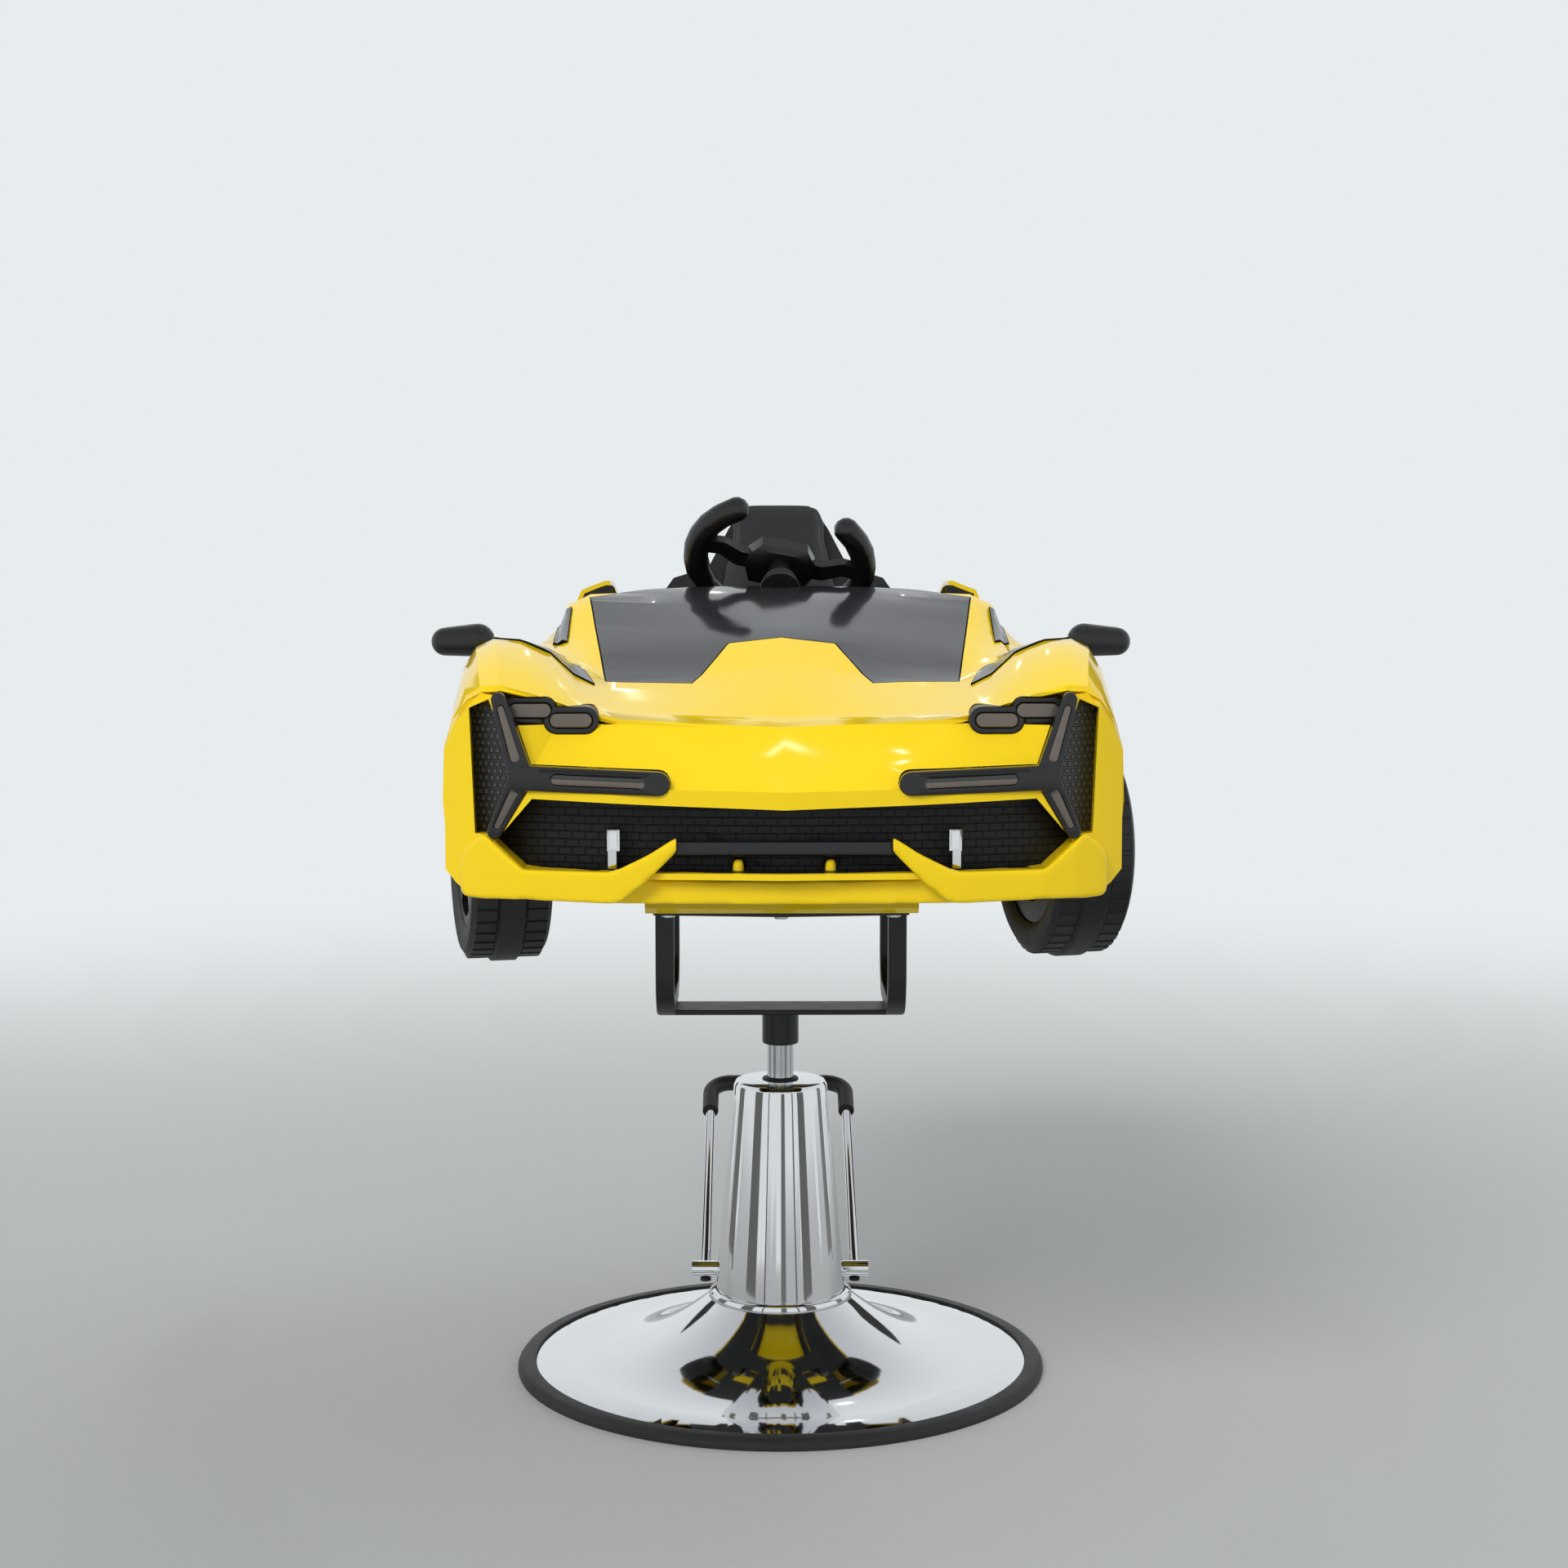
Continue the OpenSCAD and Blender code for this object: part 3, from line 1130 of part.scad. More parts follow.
module knuckle(side) {
    reach = track / 2 - kingpin_x;
    drop = beam_h / 2 + clear;
    arm_t = 6;
    color("#3a3d41") on_knuckle(side) {
        translate([0, 0, -drop - arm_t]) cylinder(d = axle_d, h = 2 * drop + 2 * arm_t);
        translate([0, 0, drop]) cylinder(d = sleeve_d, h = arm_t);
        difference() {
            union() {
                translate([0, 0, -drop - arm_t]) cylinder(d = sleeve_d, h = arm_t);
                translate([-axle_d * 0.6, 0, -drop - arm_t]) cube([axle_d * 1.2, arm_l, arm_t]);
                translate([0, arm_l, -drop - arm_t]) cylinder(d = axle_d * 1.2, h = arm_t);
            }
            translate([0, arm_l, -drop - arm_t - overrun]) cylinder(r = pin_r + (side > 0 ? slot_gap : run), h = arm_t + 2 * overrun);
        }
        translate([side > 0 ? sleeve_d / 2 + clear : -sleeve_d / 2 - clear - arm_t, -axle_d, -drop - arm_t]) cube([arm_t, 2 * axle_d, 2 * drop + 2 * arm_t]);
        translate([side > 0 ? -clear : -sleeve_d / 2 - clear - arm_t, -axle_d, drop]) cube([sleeve_d / 2 + 2 * clear + arm_t, 2 * axle_d, arm_t]);
        translate([side > 0 ? -clear : -sleeve_d / 2 - clear - arm_t, -axle_d, -drop - arm_t]) cube([sleeve_d / 2 + 2 * clear + arm_t, 2 * axle_d, arm_t]);
        translate([side * (sleeve_d / 2 + clear), 0, 0]) rotate([0, side * 90, 0]) cylinder(d = axle_d, h = reach + tyre_w * 0.45 - sleeve_d / 2);
    }
}
module knuckle_left() { knuckle(-1); }
module knuckle_right() { knuckle(1); }

pin_r = 3;
slot_gap = 0.6;
knuckle_t = 6;
ball_r = 5;
tie_rod_t = 5;
module tie_rod() {
    z = axle_z - beam_h / 2;
    shift = [-arm_l * sin(steer_turn), arm_l * cos(steer_turn)];
    plate_w = 4 * ball_r;
    color("#8f9398") translate([shift[0], -front_axle + shift[1], z]) difference() {
        union() {
            translate([-kingpin_x, -axle_d / 2, 0]) cube([2 * kingpin_x, axle_d, tie_rod_t]);
            for (s = [-1, 1]) translate([s * kingpin_x, 0, 0]) {
                cylinder(d = axle_d, h = tie_rod_t);
                translate([0, 0, -knuckle_t - clear]) cylinder(r = pin_r, h = knuckle_t + clear + tie_rod_t);
            }
            translate([-plate_w / 2, -plate_w * 0.7, 0]) cube([plate_w, plate_w * 1.4, tie_rod_t]);
        }
        translate([-ball_r - slot_gap, -2 * ball_r, -overrun]) cube([2 * (ball_r + slot_gap), 4 * ball_r, tie_rod_t + 2 * overrun]);
    }
}

// Steering wheel and column

hand_place_h = 302;
hand_place_y = 75;
column_below = 409.5;
// Places along the steering column: z is the column's axis, towards the driver
module column_line() {
    translate([0, hand_place_y, body_z + hand_place_h]) rotate([-90 + column_slope, 0, 0]) rotate([0, 0, 180]) rotate([0, 0, steer_turn]) children();
}

hub_w = 78;
hub_h = 53;
hub_t = 26;
rim_squash = 0.8;
// Half outline of the hub as shares of its width and height, from the top to the foot
hub_shares = [[0, 0.5], [0.32, 0.49], [0.47, 0.2], [0.5, -0.05], [0.38, -0.46], [0, -0.5]];
// Centre line of a spoke from the hub to the grip, each [along, up, thickness] in shares of the rim and hub
spoke_shares = [[0.3, 0.02, 0.36], [0.5, 0.02, 0.34], [0.72, 0.2, 0.3], [0.96, 0.16, 0.3]];
module hub_block(high, low, share) {
    points = [for (p = hub_shares) [p[0] * hub_w * share, p[1] * hub_h * share]];
    outline = concat(points, [for (i = [len(points) - 2 : -1 : 1]) [-points[i][0], points[i][1]]]);
    translate([0, 0, low]) linear_extrude(high - low) polygon(outline);
}
module steering_wheel() {
    q = hand_grip_d / 2;
    r = wheel_hand_d / 2 - q;
    from = -62;
    to = 49;
    steps = 9;
    function spot(a) = [r * cos(a), r * rim_squash * sin(a), 0];
    color("#1d1e21") column_line() difference() {
        union() {
            pair() for (i = [0 : steps - 1]) hull() for (k = [i, i + 1])
                translate(spot(from + (to - from) * k / steps)) sphere(r = q * min(1, 0.62 + k * 0.13), $fn = 12);
            hull() {
                hub_block(hub_t * 0.1, -hub_t * 0.5, 1);
                hub_block(hub_t * 0.3, -hub_t * 0.7, 0.8);
            }
            pair() for (i = [0 : len(spoke_shares) - 2]) hull() for (p = [spoke_shares[i], spoke_shares[i + 1]])
                translate([p[0] * r, p[1] * hub_h, -hub_t * 0.45]) cylinder(d = p[2] * hub_h, h = hub_t * 0.45, $fn = 12);
            hull() pair() translate(spot(from) - [0, 0, hub_t * 0.25]) cylinder(d = q * 0.9, h = hub_t * 0.3, $fn = 12);
            translate([0, 0, -hub_t * 1.3]) cylinder(d = column_d * 2.2, h = hub_t, $fn = 32);
        }
        translate([0, 0, -hub_t * 1.3 - overrun]) cylinder(r = column_d / 2 + clear, h = hub_t + 2 * overrun, $fn = 32);
        translate([0, 0, hub_t * 0.3 - button_h - button_travel]) cylinder(r = button_r + clear, h = hub_t, $fn = 48);
    }
}

button_r = 14;
button_h = 6;
button_travel = 2;
module horn_button() {
    color("#3b3d42") column_line() translate([0, 0, hub_t * 0.3 - button_h + clear]) cylinder(r = button_r, h = button_h + button_travel);
}

module steering_column() {
    w = 2 * ball_r;
    color("#9ba0a5") column_line() {
        translate([0, 0, -column_below - w * 0.4]) cylinder(d = column_d, h = column_below + w * 0.4 - hub_t * 0.3 - clear);
        translate([-w * 0.4, -arm_l, -column_below - w * 0.4]) cube([w * 0.8, arm_l, w * 0.8]);
        translate([0, -arm_l, -column_below]) sphere(r = ball_r);
    }
}

// Doors

module door(side) {
    color("#f4b81b") mirror([side > 0 ? 0 : 1, 0, 0]) intersection() {
        difference() {
            body_form();
            body_form(door_t, 60 * body_h / 280);
        }
        door_space(0);
    }
}
module door_left() { door(-1); }
module door_right() { door(1); }

// Wheels, made with the outer face towards +Z

module tyre() {
    half = tyre_w / 2;
    core_r = wheel_r - tread_depth;
    shoulder = half * 0.88;
    inner = rim_d / 2 + run;
    color("#1a1b1c") difference() {
        union() {
            rotate_extrude($fn = 96) polygon([
                [inner, -half * 0.9], [inner + 8, -half], [wheel_r * 0.9, -half], [core_r - tread_depth * 0.4, -shoulder],
                [core_r - tread_depth * 0.4, -rib_w / 2 - tread_depth], [wheel_r, -rib_w / 2], [wheel_r, rib_w / 2],
                [core_r - tread_depth * 0.4, rib_w / 2 + tread_depth], [core_r - tread_depth * 0.4, shoulder],
                [wheel_r * 0.9, half], [inner + 8, half], [inner, half * 0.9]
            ]);
            for (s = [-1, 1]) translate([0, 0, s > 0 ? rib_w / 2 + tread_depth : -shoulder]) linear_extrude(shoulder - rib_w / 2 - tread_depth)
                difference() {
                    polygon(cog_points(tread_n, core_r, core_r - tread_depth, 0.68));
                    circle(r = core_r - 4 * tread_depth);
                }
        }
    }
}

function window_points() = let (r = rim_d / 2) [
    [r * 0.34 * cos(14), r * 0.34 * sin(14)], [r * 0.84 * cos(8), r * 0.84 * sin(8)], [r * 0.86 * cos(22), r * 0.86 * sin(22)],
    [r * 0.87 * cos(36), r * 0.87 * sin(36)], [r * 0.86 * cos(50), r * 0.86 * sin(50)], [r * 0.84 * cos(64), r * 0.84 * sin(64)],
    [r * 0.34 * cos(58), r * 0.34 * sin(58)]
];
face_t = 9;
module rim() {
    r = rim_d / 2;
    top = tyre_w / 2 - 4;
    color("#1f2022") difference() {
        union() {
            translate([0, 0, top - face_t]) linear_extrude(face_t) difference() {
                circle(r = r, $fn = 96);
                for (i = [0 : 4]) rotate(72 * i) polygon(window_points());
            }
            translate([0, 0, -tyre_w * 0.43]) difference() {
                cylinder(r = r, h = tyre_w * 0.43 + top - face_t, $fn = 96);
                translate([0, 0, 2 * face_t]) cylinder(r = r - face_t * 0.6, h = tyre_w);
                translate([0, 0, -overrun]) cylinder(r = r * 0.72, h = face_t + overrun);
            }
            translate([0, 0, -tyre_w * 0.3]) cylinder(r = r * 0.22, h = tyre_w * 0.3 + top);
            translate([0, 0, top]) cylinder(r1 = r * 0.26, r2 = r * 0.18, h = 7);
        }
        translate([0, 0, -tyre_w]) cylinder(r = axle_d / 2 + run, h = tyre_w * 1.46);
    }
}

module rim_insert() {
    r = rim_d / 2 - face_t * 0.6 - clear;
    z = tyre_w / 2 - 4 - face_t - 5;
    color("#f2b318") difference() {
        translate([0, 0, z - 3]) {
            cylinder(r = r, h = 3);
            linear_extrude(7) polygon(cog_points(36, r * 0.95, r * 0.45, 0.5));
        }
        translate([0, 0, z - 10]) cylinder(r = r * 0.28 + clear, h = 30);
    }
}

module wheel() {
    tyre();
    rim();
    rim_insert();
}
module front_wheel(side) {
    on_knuckle(side) translate([side * (wheel_x - kingpin_x), 0, 0]) rotate([0, side * 90, 0]) wheel();
}
module rear_wheel(side) {
    translate([side * wheel_x, rear_axle, axle_z]) rotate([0, side * 90, 0]) wheel();
}
module wheel_front_left() { front_wheel(-1); }
module wheel_front_right() { front_wheel(1); }
module wheel_rear_left() { rear_wheel(-1); }
module wheel_rear_right() { rear_wheel(1); }

base_ring();
base_plate();
base_bolts();
foot_ring();
column_cover();
oil_cylinder();
rod_wiper();
pump_housing();
pump_plunger();
lever_shaft();
lever_collars();
lever_screws();
lever_bar();
lever_grip();
lift_rod();
swivel_socket();
foot_bar();
loop_left();
loop_right();
top_frame();
frame_bolts();
belly_pan();
chassis_floor();
body_shell();
windscreen_panel();
side_glass();
fender_strips();
nose_grille();
grille_bar();
corner_vents();
light_surrounds();
light_lenses();
headlamp_housings();
headlamp_lenses();
front_splitter();
tow_hooks();
mirrors();
mirror_glass();
dash_panel();
cockpit_tub();
haunch_panels();
seat_shell();
seat_cushion();
back_cushion();
rear_trim();
tail_lights();
front_axle_beam();
rear_axle_rod();
door_left();
door_right();
steering_wheel();
steering_column();
horn_button();
knuckle_left();
knuckle_right();
tie_rod();
wheel_front_left();
wheel_front_right();
wheel_rear_left();
wheel_rear_right();
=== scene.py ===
import json
import math

import bpy
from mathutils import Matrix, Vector


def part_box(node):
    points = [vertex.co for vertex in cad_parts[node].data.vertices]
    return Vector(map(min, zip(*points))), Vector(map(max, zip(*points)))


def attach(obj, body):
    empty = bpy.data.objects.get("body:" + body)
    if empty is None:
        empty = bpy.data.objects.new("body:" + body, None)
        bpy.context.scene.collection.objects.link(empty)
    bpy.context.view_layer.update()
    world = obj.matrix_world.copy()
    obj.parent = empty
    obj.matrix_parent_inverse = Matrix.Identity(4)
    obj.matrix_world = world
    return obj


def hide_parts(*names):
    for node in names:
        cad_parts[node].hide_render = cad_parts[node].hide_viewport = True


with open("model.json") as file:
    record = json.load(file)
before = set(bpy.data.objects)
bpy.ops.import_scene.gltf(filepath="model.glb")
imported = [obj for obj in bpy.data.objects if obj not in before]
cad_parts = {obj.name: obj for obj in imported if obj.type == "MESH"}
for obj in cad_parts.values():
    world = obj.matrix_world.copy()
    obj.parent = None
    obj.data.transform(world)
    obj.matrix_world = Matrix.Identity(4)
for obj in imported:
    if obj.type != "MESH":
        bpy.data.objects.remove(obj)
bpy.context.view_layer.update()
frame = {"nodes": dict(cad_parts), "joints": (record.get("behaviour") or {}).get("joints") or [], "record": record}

# Camera: at the height of a standing adult's chest, straight in front of the car's nose and
# looking a little down, so that the round base and the top of the seat are both in view.
degrees_down, degrees_right = 5.238, 0.506
camera_data = bpy.data.cameras.new("camera")
camera_data.lens = 59.925
camera_data.sensor_width = 36
camera = bpy.data.objects.new("camera", camera_data)
camera.location = (-0.0206, -2.772, 0.8857)
camera.rotation_euler = (math.radians(90 - degrees_down), 0, math.radians(-degrees_right))
bpy.context.scene.collection.objects.link(camera)
bpy.context.scene.camera = camera

# Rubber edge ring: one moulded ring of black rubber with a rolled outer rim and a lip that grips
# the chrome plate's edge. It is pressed on and lies on the floor.
bodies = frame["record"]["behaviour"]["bodies"]
body_of_node = {node: body for body, members in bodies.items() for node in members}


def merged_copy(node):
    """A copy of the node's solid with its loose triangles joined and its flat faces whole."""
    mesh = frame["nodes"][node].data.copy()
    mesh.materials.clear()
    piece = bpy.data.objects.new("shown_" + node, mesh)
    bpy.context.scene.collection.objects.link(piece)
    bpy.ops.object.select_all(action="DESELECT")
    piece.select_set(True)
    bpy.context.view_layer.objects.active = piece
    bpy.ops.object.mode_set(mode="EDIT")
    bpy.ops.mesh.select_all(action="SELECT")
    bpy.ops.mesh.customdata_custom_splitnormals_clear()
    bpy.ops.mesh.remove_doubles(threshold=2e-6)
    bpy.ops.mesh.dissolve_limited(angle_limit=math.radians(0.4))
    bpy.ops.object.mode_set(mode="OBJECT")
    return piece


def broken_edges(piece, edge, steps=2, angle=32):
    """Rounds the sharp edges a little, as a mould, a die or a file leaves them."""
    bpy.ops.object.shade_smooth_by_angle(angle=math.radians(angle))
    if edge > 0:
        bevel = piece.modifiers.new("edges", "BEVEL")
        bevel.width = edge
        bevel.segments = steps
        bevel.limit_method = "ANGLE"
        bevel.angle_limit = math.radians(angle)
        bevel.use_clamp_overlap = True
        bevel.harden_normals = True
        bpy.ops.object.modifier_apply(modifier=bevel.name)


def stand_in(piece, node, *looks):
    """Gives the piece its finishes; it stands for the node and rides where the solid rides."""
    for look in looks:
        piece.data.materials.append(look)
    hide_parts(node)
    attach(piece, body_of_node[node])


def fit(node, look, edge=0.0, steps=2, angle=32):
    """The node's own shape in its real finish, with its edges broken by that width."""
    piece = merged_copy(node)
    broken_edges(piece, edge, steps, angle)
    stand_in(piece, node, look)


def calculator(add, join):
    """Arithmetic between sockets and numbers, one Math node for each step."""
    def sum_of(kind, *terms):
        node = add("ShaderNodeMath")
        node.operation = kind
        for socket, term in zip(node.inputs, terms):
            if hasattr(term, "is_output"):
                join(term, socket)
            else:
                socket.default_value = term
        return node.outputs[0]
    return sum_of


def new_group(name, inputs, outputs):
    """A shader node group with those sockets, and the tools and ends to fill it with."""
    group = bpy.data.node_groups.new(name, "ShaderNodeTree")
    for socket, kind, value in inputs:
        made = group.interface.new_socket(name=socket, in_out="INPUT", socket_type=kind)
        made.default_value = value
    for socket, kind in outputs:
        group.interface.new_socket(name=socket, in_out="OUTPUT", socket_type=kind)
    add, join = group.nodes.new, group.links.new
    return group, add, join, add("NodeGroupInput").outputs, add("NodeGroupOutput").inputs


number, colour_kind, direction = "NodeSocketFloat", "NodeSocketColor", "NodeSocketVector"


def surface_group():
    """Colour, roughness and normal of a surface with mottling, handling marks and a fine grain."""
    group, add, join, given, out = new_group(
        "surface",
        [("Colour", colour_kind, (0.5, 0.5, 0.5, 1)), ("Mottle", number, 0.1),
         ("Mottle size", number, 20), ("Roughness", number, 0.4), ("Marks", number, 0.1),
         ("Grain", number, 0.1), ("Grain size", number, 900)],
        [("Colour", colour_kind), ("Roughness", number), ("Normal", direction)])
    sum_of = calculator(add, join)
    place = add("ShaderNodeTexCoord")
    cloud, streak, grain = (add("ShaderNodeTexNoise") for _ in range(3))
    for noise, detail in ((cloud, 4), (streak, 6), (grain, 2)):
        join(place.outputs["Object"], noise.inputs["Vector"])
        noise.inputs["Detail"].default_value = detail
    join(given["Mottle size"], cloud.inputs["Scale"])
    streak.inputs["Scale"].default_value = 55
    streak.inputs["Distortion"].default_value = 0.6
    join(given["Grain size"], grain.inputs["Scale"])
    # the mottling goes as far above the colour as below it
    darkest = sum_of("MULTIPLY_ADD", given["Mottle"], -0.5, 1.0)
    shift = sum_of("MULTIPLY_ADD", cloud.outputs["Fac"], given["Mottle"], darkest)
    shade = add("ShaderNodeVectorMath")
    shade.operation = "SCALE"
    join(given["Colour"], shade.inputs[0])
    join(shift, shade.inputs["Scale"])
    join(shade.outputs["Vector"], out["Colour"])
    marks = sum_of("MULTIPLY_ADD", streak.outputs["Fac"], given["Marks"], given["Roughness"])
    marks.node.use_clamp = True
    join(marks, out["Roughness"])
    bump = add("ShaderNodeBump")
    bump.inputs["Distance"].default_value = 0.0003
    join(given["Grain"], bump.inputs["Strength"])
    join(grain.outputs["Fac"], bump.inputs["Height"])
    join(bump.outputs["Normal"], out["Normal"])
    return group


surface = surface_group()


def finish(name, colour, roughness, metal=0.0, mottle=0.12, mottle_size=14, marks=0.12,
           grain=0.1, grain_size=900, coat=0.0, specular=0.5):
    """A material of that colour with the surface group; metal, coat and specular stand on the
    shader itself."""
    material = bpy.data.materials.new(name)
    material.use_nodes = True
    nodes, join = material.node_tree.nodes, material.node_tree.links.new
    shader = nodes["Principled BSDF"]
    skin = nodes.new("ShaderNodeGroup")
    skin.name = "skin"
    skin.node_tree = surface
    skin.location = (-320, 0)
    for socket, value in [("Colour", (*colour, 1)), ("Mottle", mottle),
                          ("Mottle size", mottle_size), ("Roughness", roughness),
                          ("Marks", marks), ("Grain", grain), ("Grain size", grain_size)]:
        skin.inputs[socket].default_value = value
    join(skin.outputs["Colour"], shader.inputs["Base Color"])
    join(skin.outputs["Roughness"], shader.inputs["Roughness"])
    join(skin.outputs["Normal"], shader.inputs["Normal"])
    shader.inputs["Metallic"].default_value = metal
    shader.inputs["Specular IOR Level"].default_value = specular
    shader.inputs["Coat Weight"].default_value = coat
    shader.inputs["Coat Roughness"].default_value = 0.04
    return material


ring_rubber = finish("ring_rubber", (0.014, 0.0148, 0.0145), roughness=0.42,
                     mottle=0.3, marks=0.2, grain=0.25, grain_size=500)
fit("base_ring", ring_rubber, edge=0.0012)

# Base plate, foot ring and column cover: pressed and spun steel sheet, polished and chrome
# plated. The foot ring hides the bolts where the cover stands on the plate.
chrome = finish("chrome", (0.8, 0.805, 0.82), roughness=0.03, metal=1.0,
                mottle=0.05, marks=0.05, grain=0.01, grain_size=60)
fit("base_plate", chrome, edge=0.0006)
fit("foot_ring", chrome, edge=0.0004)
fit("column_cover", chrome, edge=0.0006)

# Pump: cast housing behind the cover, steel shaft across it, two chrome collars with set screws
# that clamp the lever's rods. Bolts and oil cylinder are bright or dark painted steel.
dark_steel = finish("dark_steel", (0.07, 0.075, 0.08), roughness=0.4, metal=0.5,
                    mottle=0.25, marks=0.2, grain=0.3, grain_size=300)
bright_steel = finish("bright_steel", (0.6, 0.615, 0.63), roughness=0.16, metal=1.0,
                      mottle=0.1, marks=0.16, grain=0.08, grain_size=700)
screw_black = finish("screw_black", (0.03, 0.031, 0.033), roughness=0.35, metal=0.6)
fit("pump_housing", chrome, edge=0.0012)
fit("oil_cylinder", dark_steel, edge=0.0004)
fit("pump_plunger", bright_steel, edge=0.0003)
fit("base_bolts", bright_steel, edge=0.0004)
fit("lever_shaft", bright_steel, edge=0.0004)
fit("lever_collars", chrome, edge=0.0005)
fit("lever_screws", screw_black, edge=0.0004)
fit("lever_bar", chrome)

# Lever grip: black rubber tube with ribs along it. It is warmed and pushed over the bend of the
# lever, and holds by its own grip.
grip_rubber = finish("grip_rubber", (0.012, 0.0125, 0.013), roughness=0.4,
                     mottle=0.2, marks=0.15, grain=0.3, grain_size=700)
fit("lever_grip", grip_rubber, edge=0.0005)

# Lifting rod and its wiper: a ground and hard-chromed steel rod that slides in the oil cylinder,
# and a black rubber ring in the cover's mouth that keeps it clean.
fit("rod_wiper", grip_rubber, edge=0.0004)
fit("lift_rod", bright_steel, edge=0.0005)

# Bracket: socket on the rod, flat foot bar, two loops of flat bar bent on edge and a top frame,
# welded together and powder coated satin black. Bolts hold the car on the top frame.
powder_coat = finish("powder_coat", (0.009, 0.0093, 0.0098), roughness=0.32,
                     mottle=0.25, marks=0.14, grain=0.35, grain_size=420)
for node, edge in [("swivel_socket", 0.002), ("foot_bar", 0.0012), ("loop_left", 0.0015),
                   ("loop_right", 0.0015), ("top_frame", 0.0015)]:
    fit(node, powder_coat, edge)
fit("frame_bolts", bright_steel, edge=0.0004)

# Car body: blow-moulded shell, doors, splitter and belly pan in glossy yellow plastic. The doors
# hang on hidden pins at their front edge; the belly pan is screwed on the top frame, and its
# front lip turns up a little, so that the frame's bar shows under it.
yellow = finish("yellow_plastic", (0.97, 0.68, 0.009), roughness=0.07,
                mottle=0.04, mottle_size=5, marks=0.04, grain=0.02, grain_size=240, specular=0.2)


def moulded(node, look, voxel, rounds):
    """The node's piece with its edges drawn round all over, as plastic leaves a mould."""
    piece = merged_copy(node)
    even = piece.modifiers.new("even_mesh", "REMESH")
    even.mode = "VOXEL"
    even.voxel_size = voxel
    bpy.ops.object.modifier_apply(modifier=even.name)
    soften = piece.modifiers.new("soft_edges", "SMOOTH")
    soften.factor = 0.5
    soften.iterations = rounds
    bpy.ops.object.modifier_apply(modifier=soften.name)
    bpy.ops.object.shade_smooth()
    stand_in(piece, node, look)


lip_bend_y, lip_from_y, lip_below_z, lip_rise = -0.198, -0.199, 0.53, 0.0062
pan = merged_copy("belly_pan")
bpy.ops.object.mode_set(mode="EDIT")
bpy.ops.mesh.select_all(action="SELECT")
bpy.ops.mesh.bisect(plane_co=(0, lip_bend_y, 0), plane_no=(0, 1, 0))
bpy.ops.object.mode_set(mode="OBJECT")
for vertex in pan.data.vertices:
    if vertex.co.y < lip_from_y and vertex.co.z < lip_below_z:
        vertex.co.z += lip_rise
broken_edges(pan, edge=0.0012)
stand_in(pan, "belly_pan", yellow)
fit("body_shell", yellow, angle=28)
fit("door_left", yellow, angle=38)
fit("door_right", yellow, angle=38)
moulded("front_splitter", yellow, voxel=0.0022, rounds=9)

# Dark panels: windscreen panel, quarter glasses and fender strips, glossy dark plastic sheets
# that snap into the shell. A thin ring of painted shade, near black, runs round the edge of each
# and stands for the shadow in the gap round it.
panel_grey = finish("panel_grey", (0.026, 0.027, 0.03), roughness=0.08,
                    marks=0.05, grain=0.015, grain_size=260)
# painted shade: a matt near-black finish for the ring round each panel, where the gap's shadow falls
gap_shade_black = finish("gap_shade_black", (0.004, 0.004, 0.0045), roughness=0.7,
                    mottle=0.2, marks=0.1, specular=0.05)
least_upward = 0.35
bpy.context.tool_settings.mesh_select_mode = (False, False, True)
# the second number is the width of the ring painted near black as painted shade of the gap
for node, seam in [("windscreen_panel", 0.0016), ("side_glass", 0.0008),
                   ("fender_strips", 0.0008)]:
    plate = merged_copy(node)
    bpy.ops.object.shade_smooth_by_angle(angle=math.radians(38))
    plate.data.materials.append(panel_grey)
    plate.data.materials.append(gap_shade_black)
    for face in plate.data.polygons:
        face.select = face.normal.z > least_upward
        face.material_index = 1
    bpy.ops.object.mode_set(mode="EDIT")
    bpy.ops.mesh.inset(thickness=seam, use_boundary=True, use_even_offset=True)
    plate.active_material_index = 0
    bpy.ops.object.material_slot_assign()
    bpy.ops.object.mode_set(mode="OBJECT")
    stand_in(plate, node)

# Grille bar and mirrors: moulded in black plastic with a gloss face. The bar snaps into the
# grille, and the mirrors are plugged into the shell beside the windscreen panel.
gloss_black = finish("gloss_black", (0.007, 0.0072, 0.008), roughness=0.16,
                     mottle=0.15, marks=0.14, grain=0.06, grain_size=400)
moulded("grille_bar", gloss_black, voxel=0.0012, rounds=8)
moulded("mirrors", gloss_black, voxel=0.0015, rounds=6)


# Light surrounds: Y-shaped mouldings in black plastic, clipped in front of the grille and the
# corner vents. A fine groove runs along the level arm, above the lens strip; it is sunk by a bump
# and painted darker than the moulding, as painted shade in the groove.
def along_arm_group():
    """1 in a strip along the level arm of each light, at that height over its middle line."""
    group, add, join, given, out = new_group(
        "along_arm",
        [("Above", number, 0.006), ("Half width", number, 0.0008), ("Softness", number, 0.0004),
         ("From x", number, 0.125), ("To x", number, 0.22)],
        [("Strip", number)])
    sum_of = calculator(add, join)
    place, apart = add("ShaderNodeTexCoord"), add("ShaderNodeSeparateXYZ")
    join(place.outputs["Object"], apart.inputs[0])
    across = sum_of("ABSOLUTE", apart.outputs["X"])
    # the middle line rises from z 0.6785 at the inner end, x 0.110, to 0.6813 at x 0.232
    line_slope, line_start = 0.023, 0.67597
    line = sum_of("MULTIPLY_ADD", across, line_slope, line_start)
    above = sum_of("SUBTRACT", apart.outputs["Z"], line)
    off = sum_of("ABSOLUTE", sum_of("SUBTRACT", above, given["Above"]))
    inside = sum_of("SUBTRACT", given["Half width"], off)
    ends = sum_of("MINIMUM", sum_of("SUBTRACT", across, given["From x"]),
                  sum_of("SUBTRACT", given["To x"], across))
    depth = sum_of("MINIMUM", inside, ends)
    strip = sum_of("ADD", sum_of("DIVIDE", depth, given["Softness"]), 0.5)
    strip.node.use_clamp = True
    join(strip, out["Strip"])
    return group


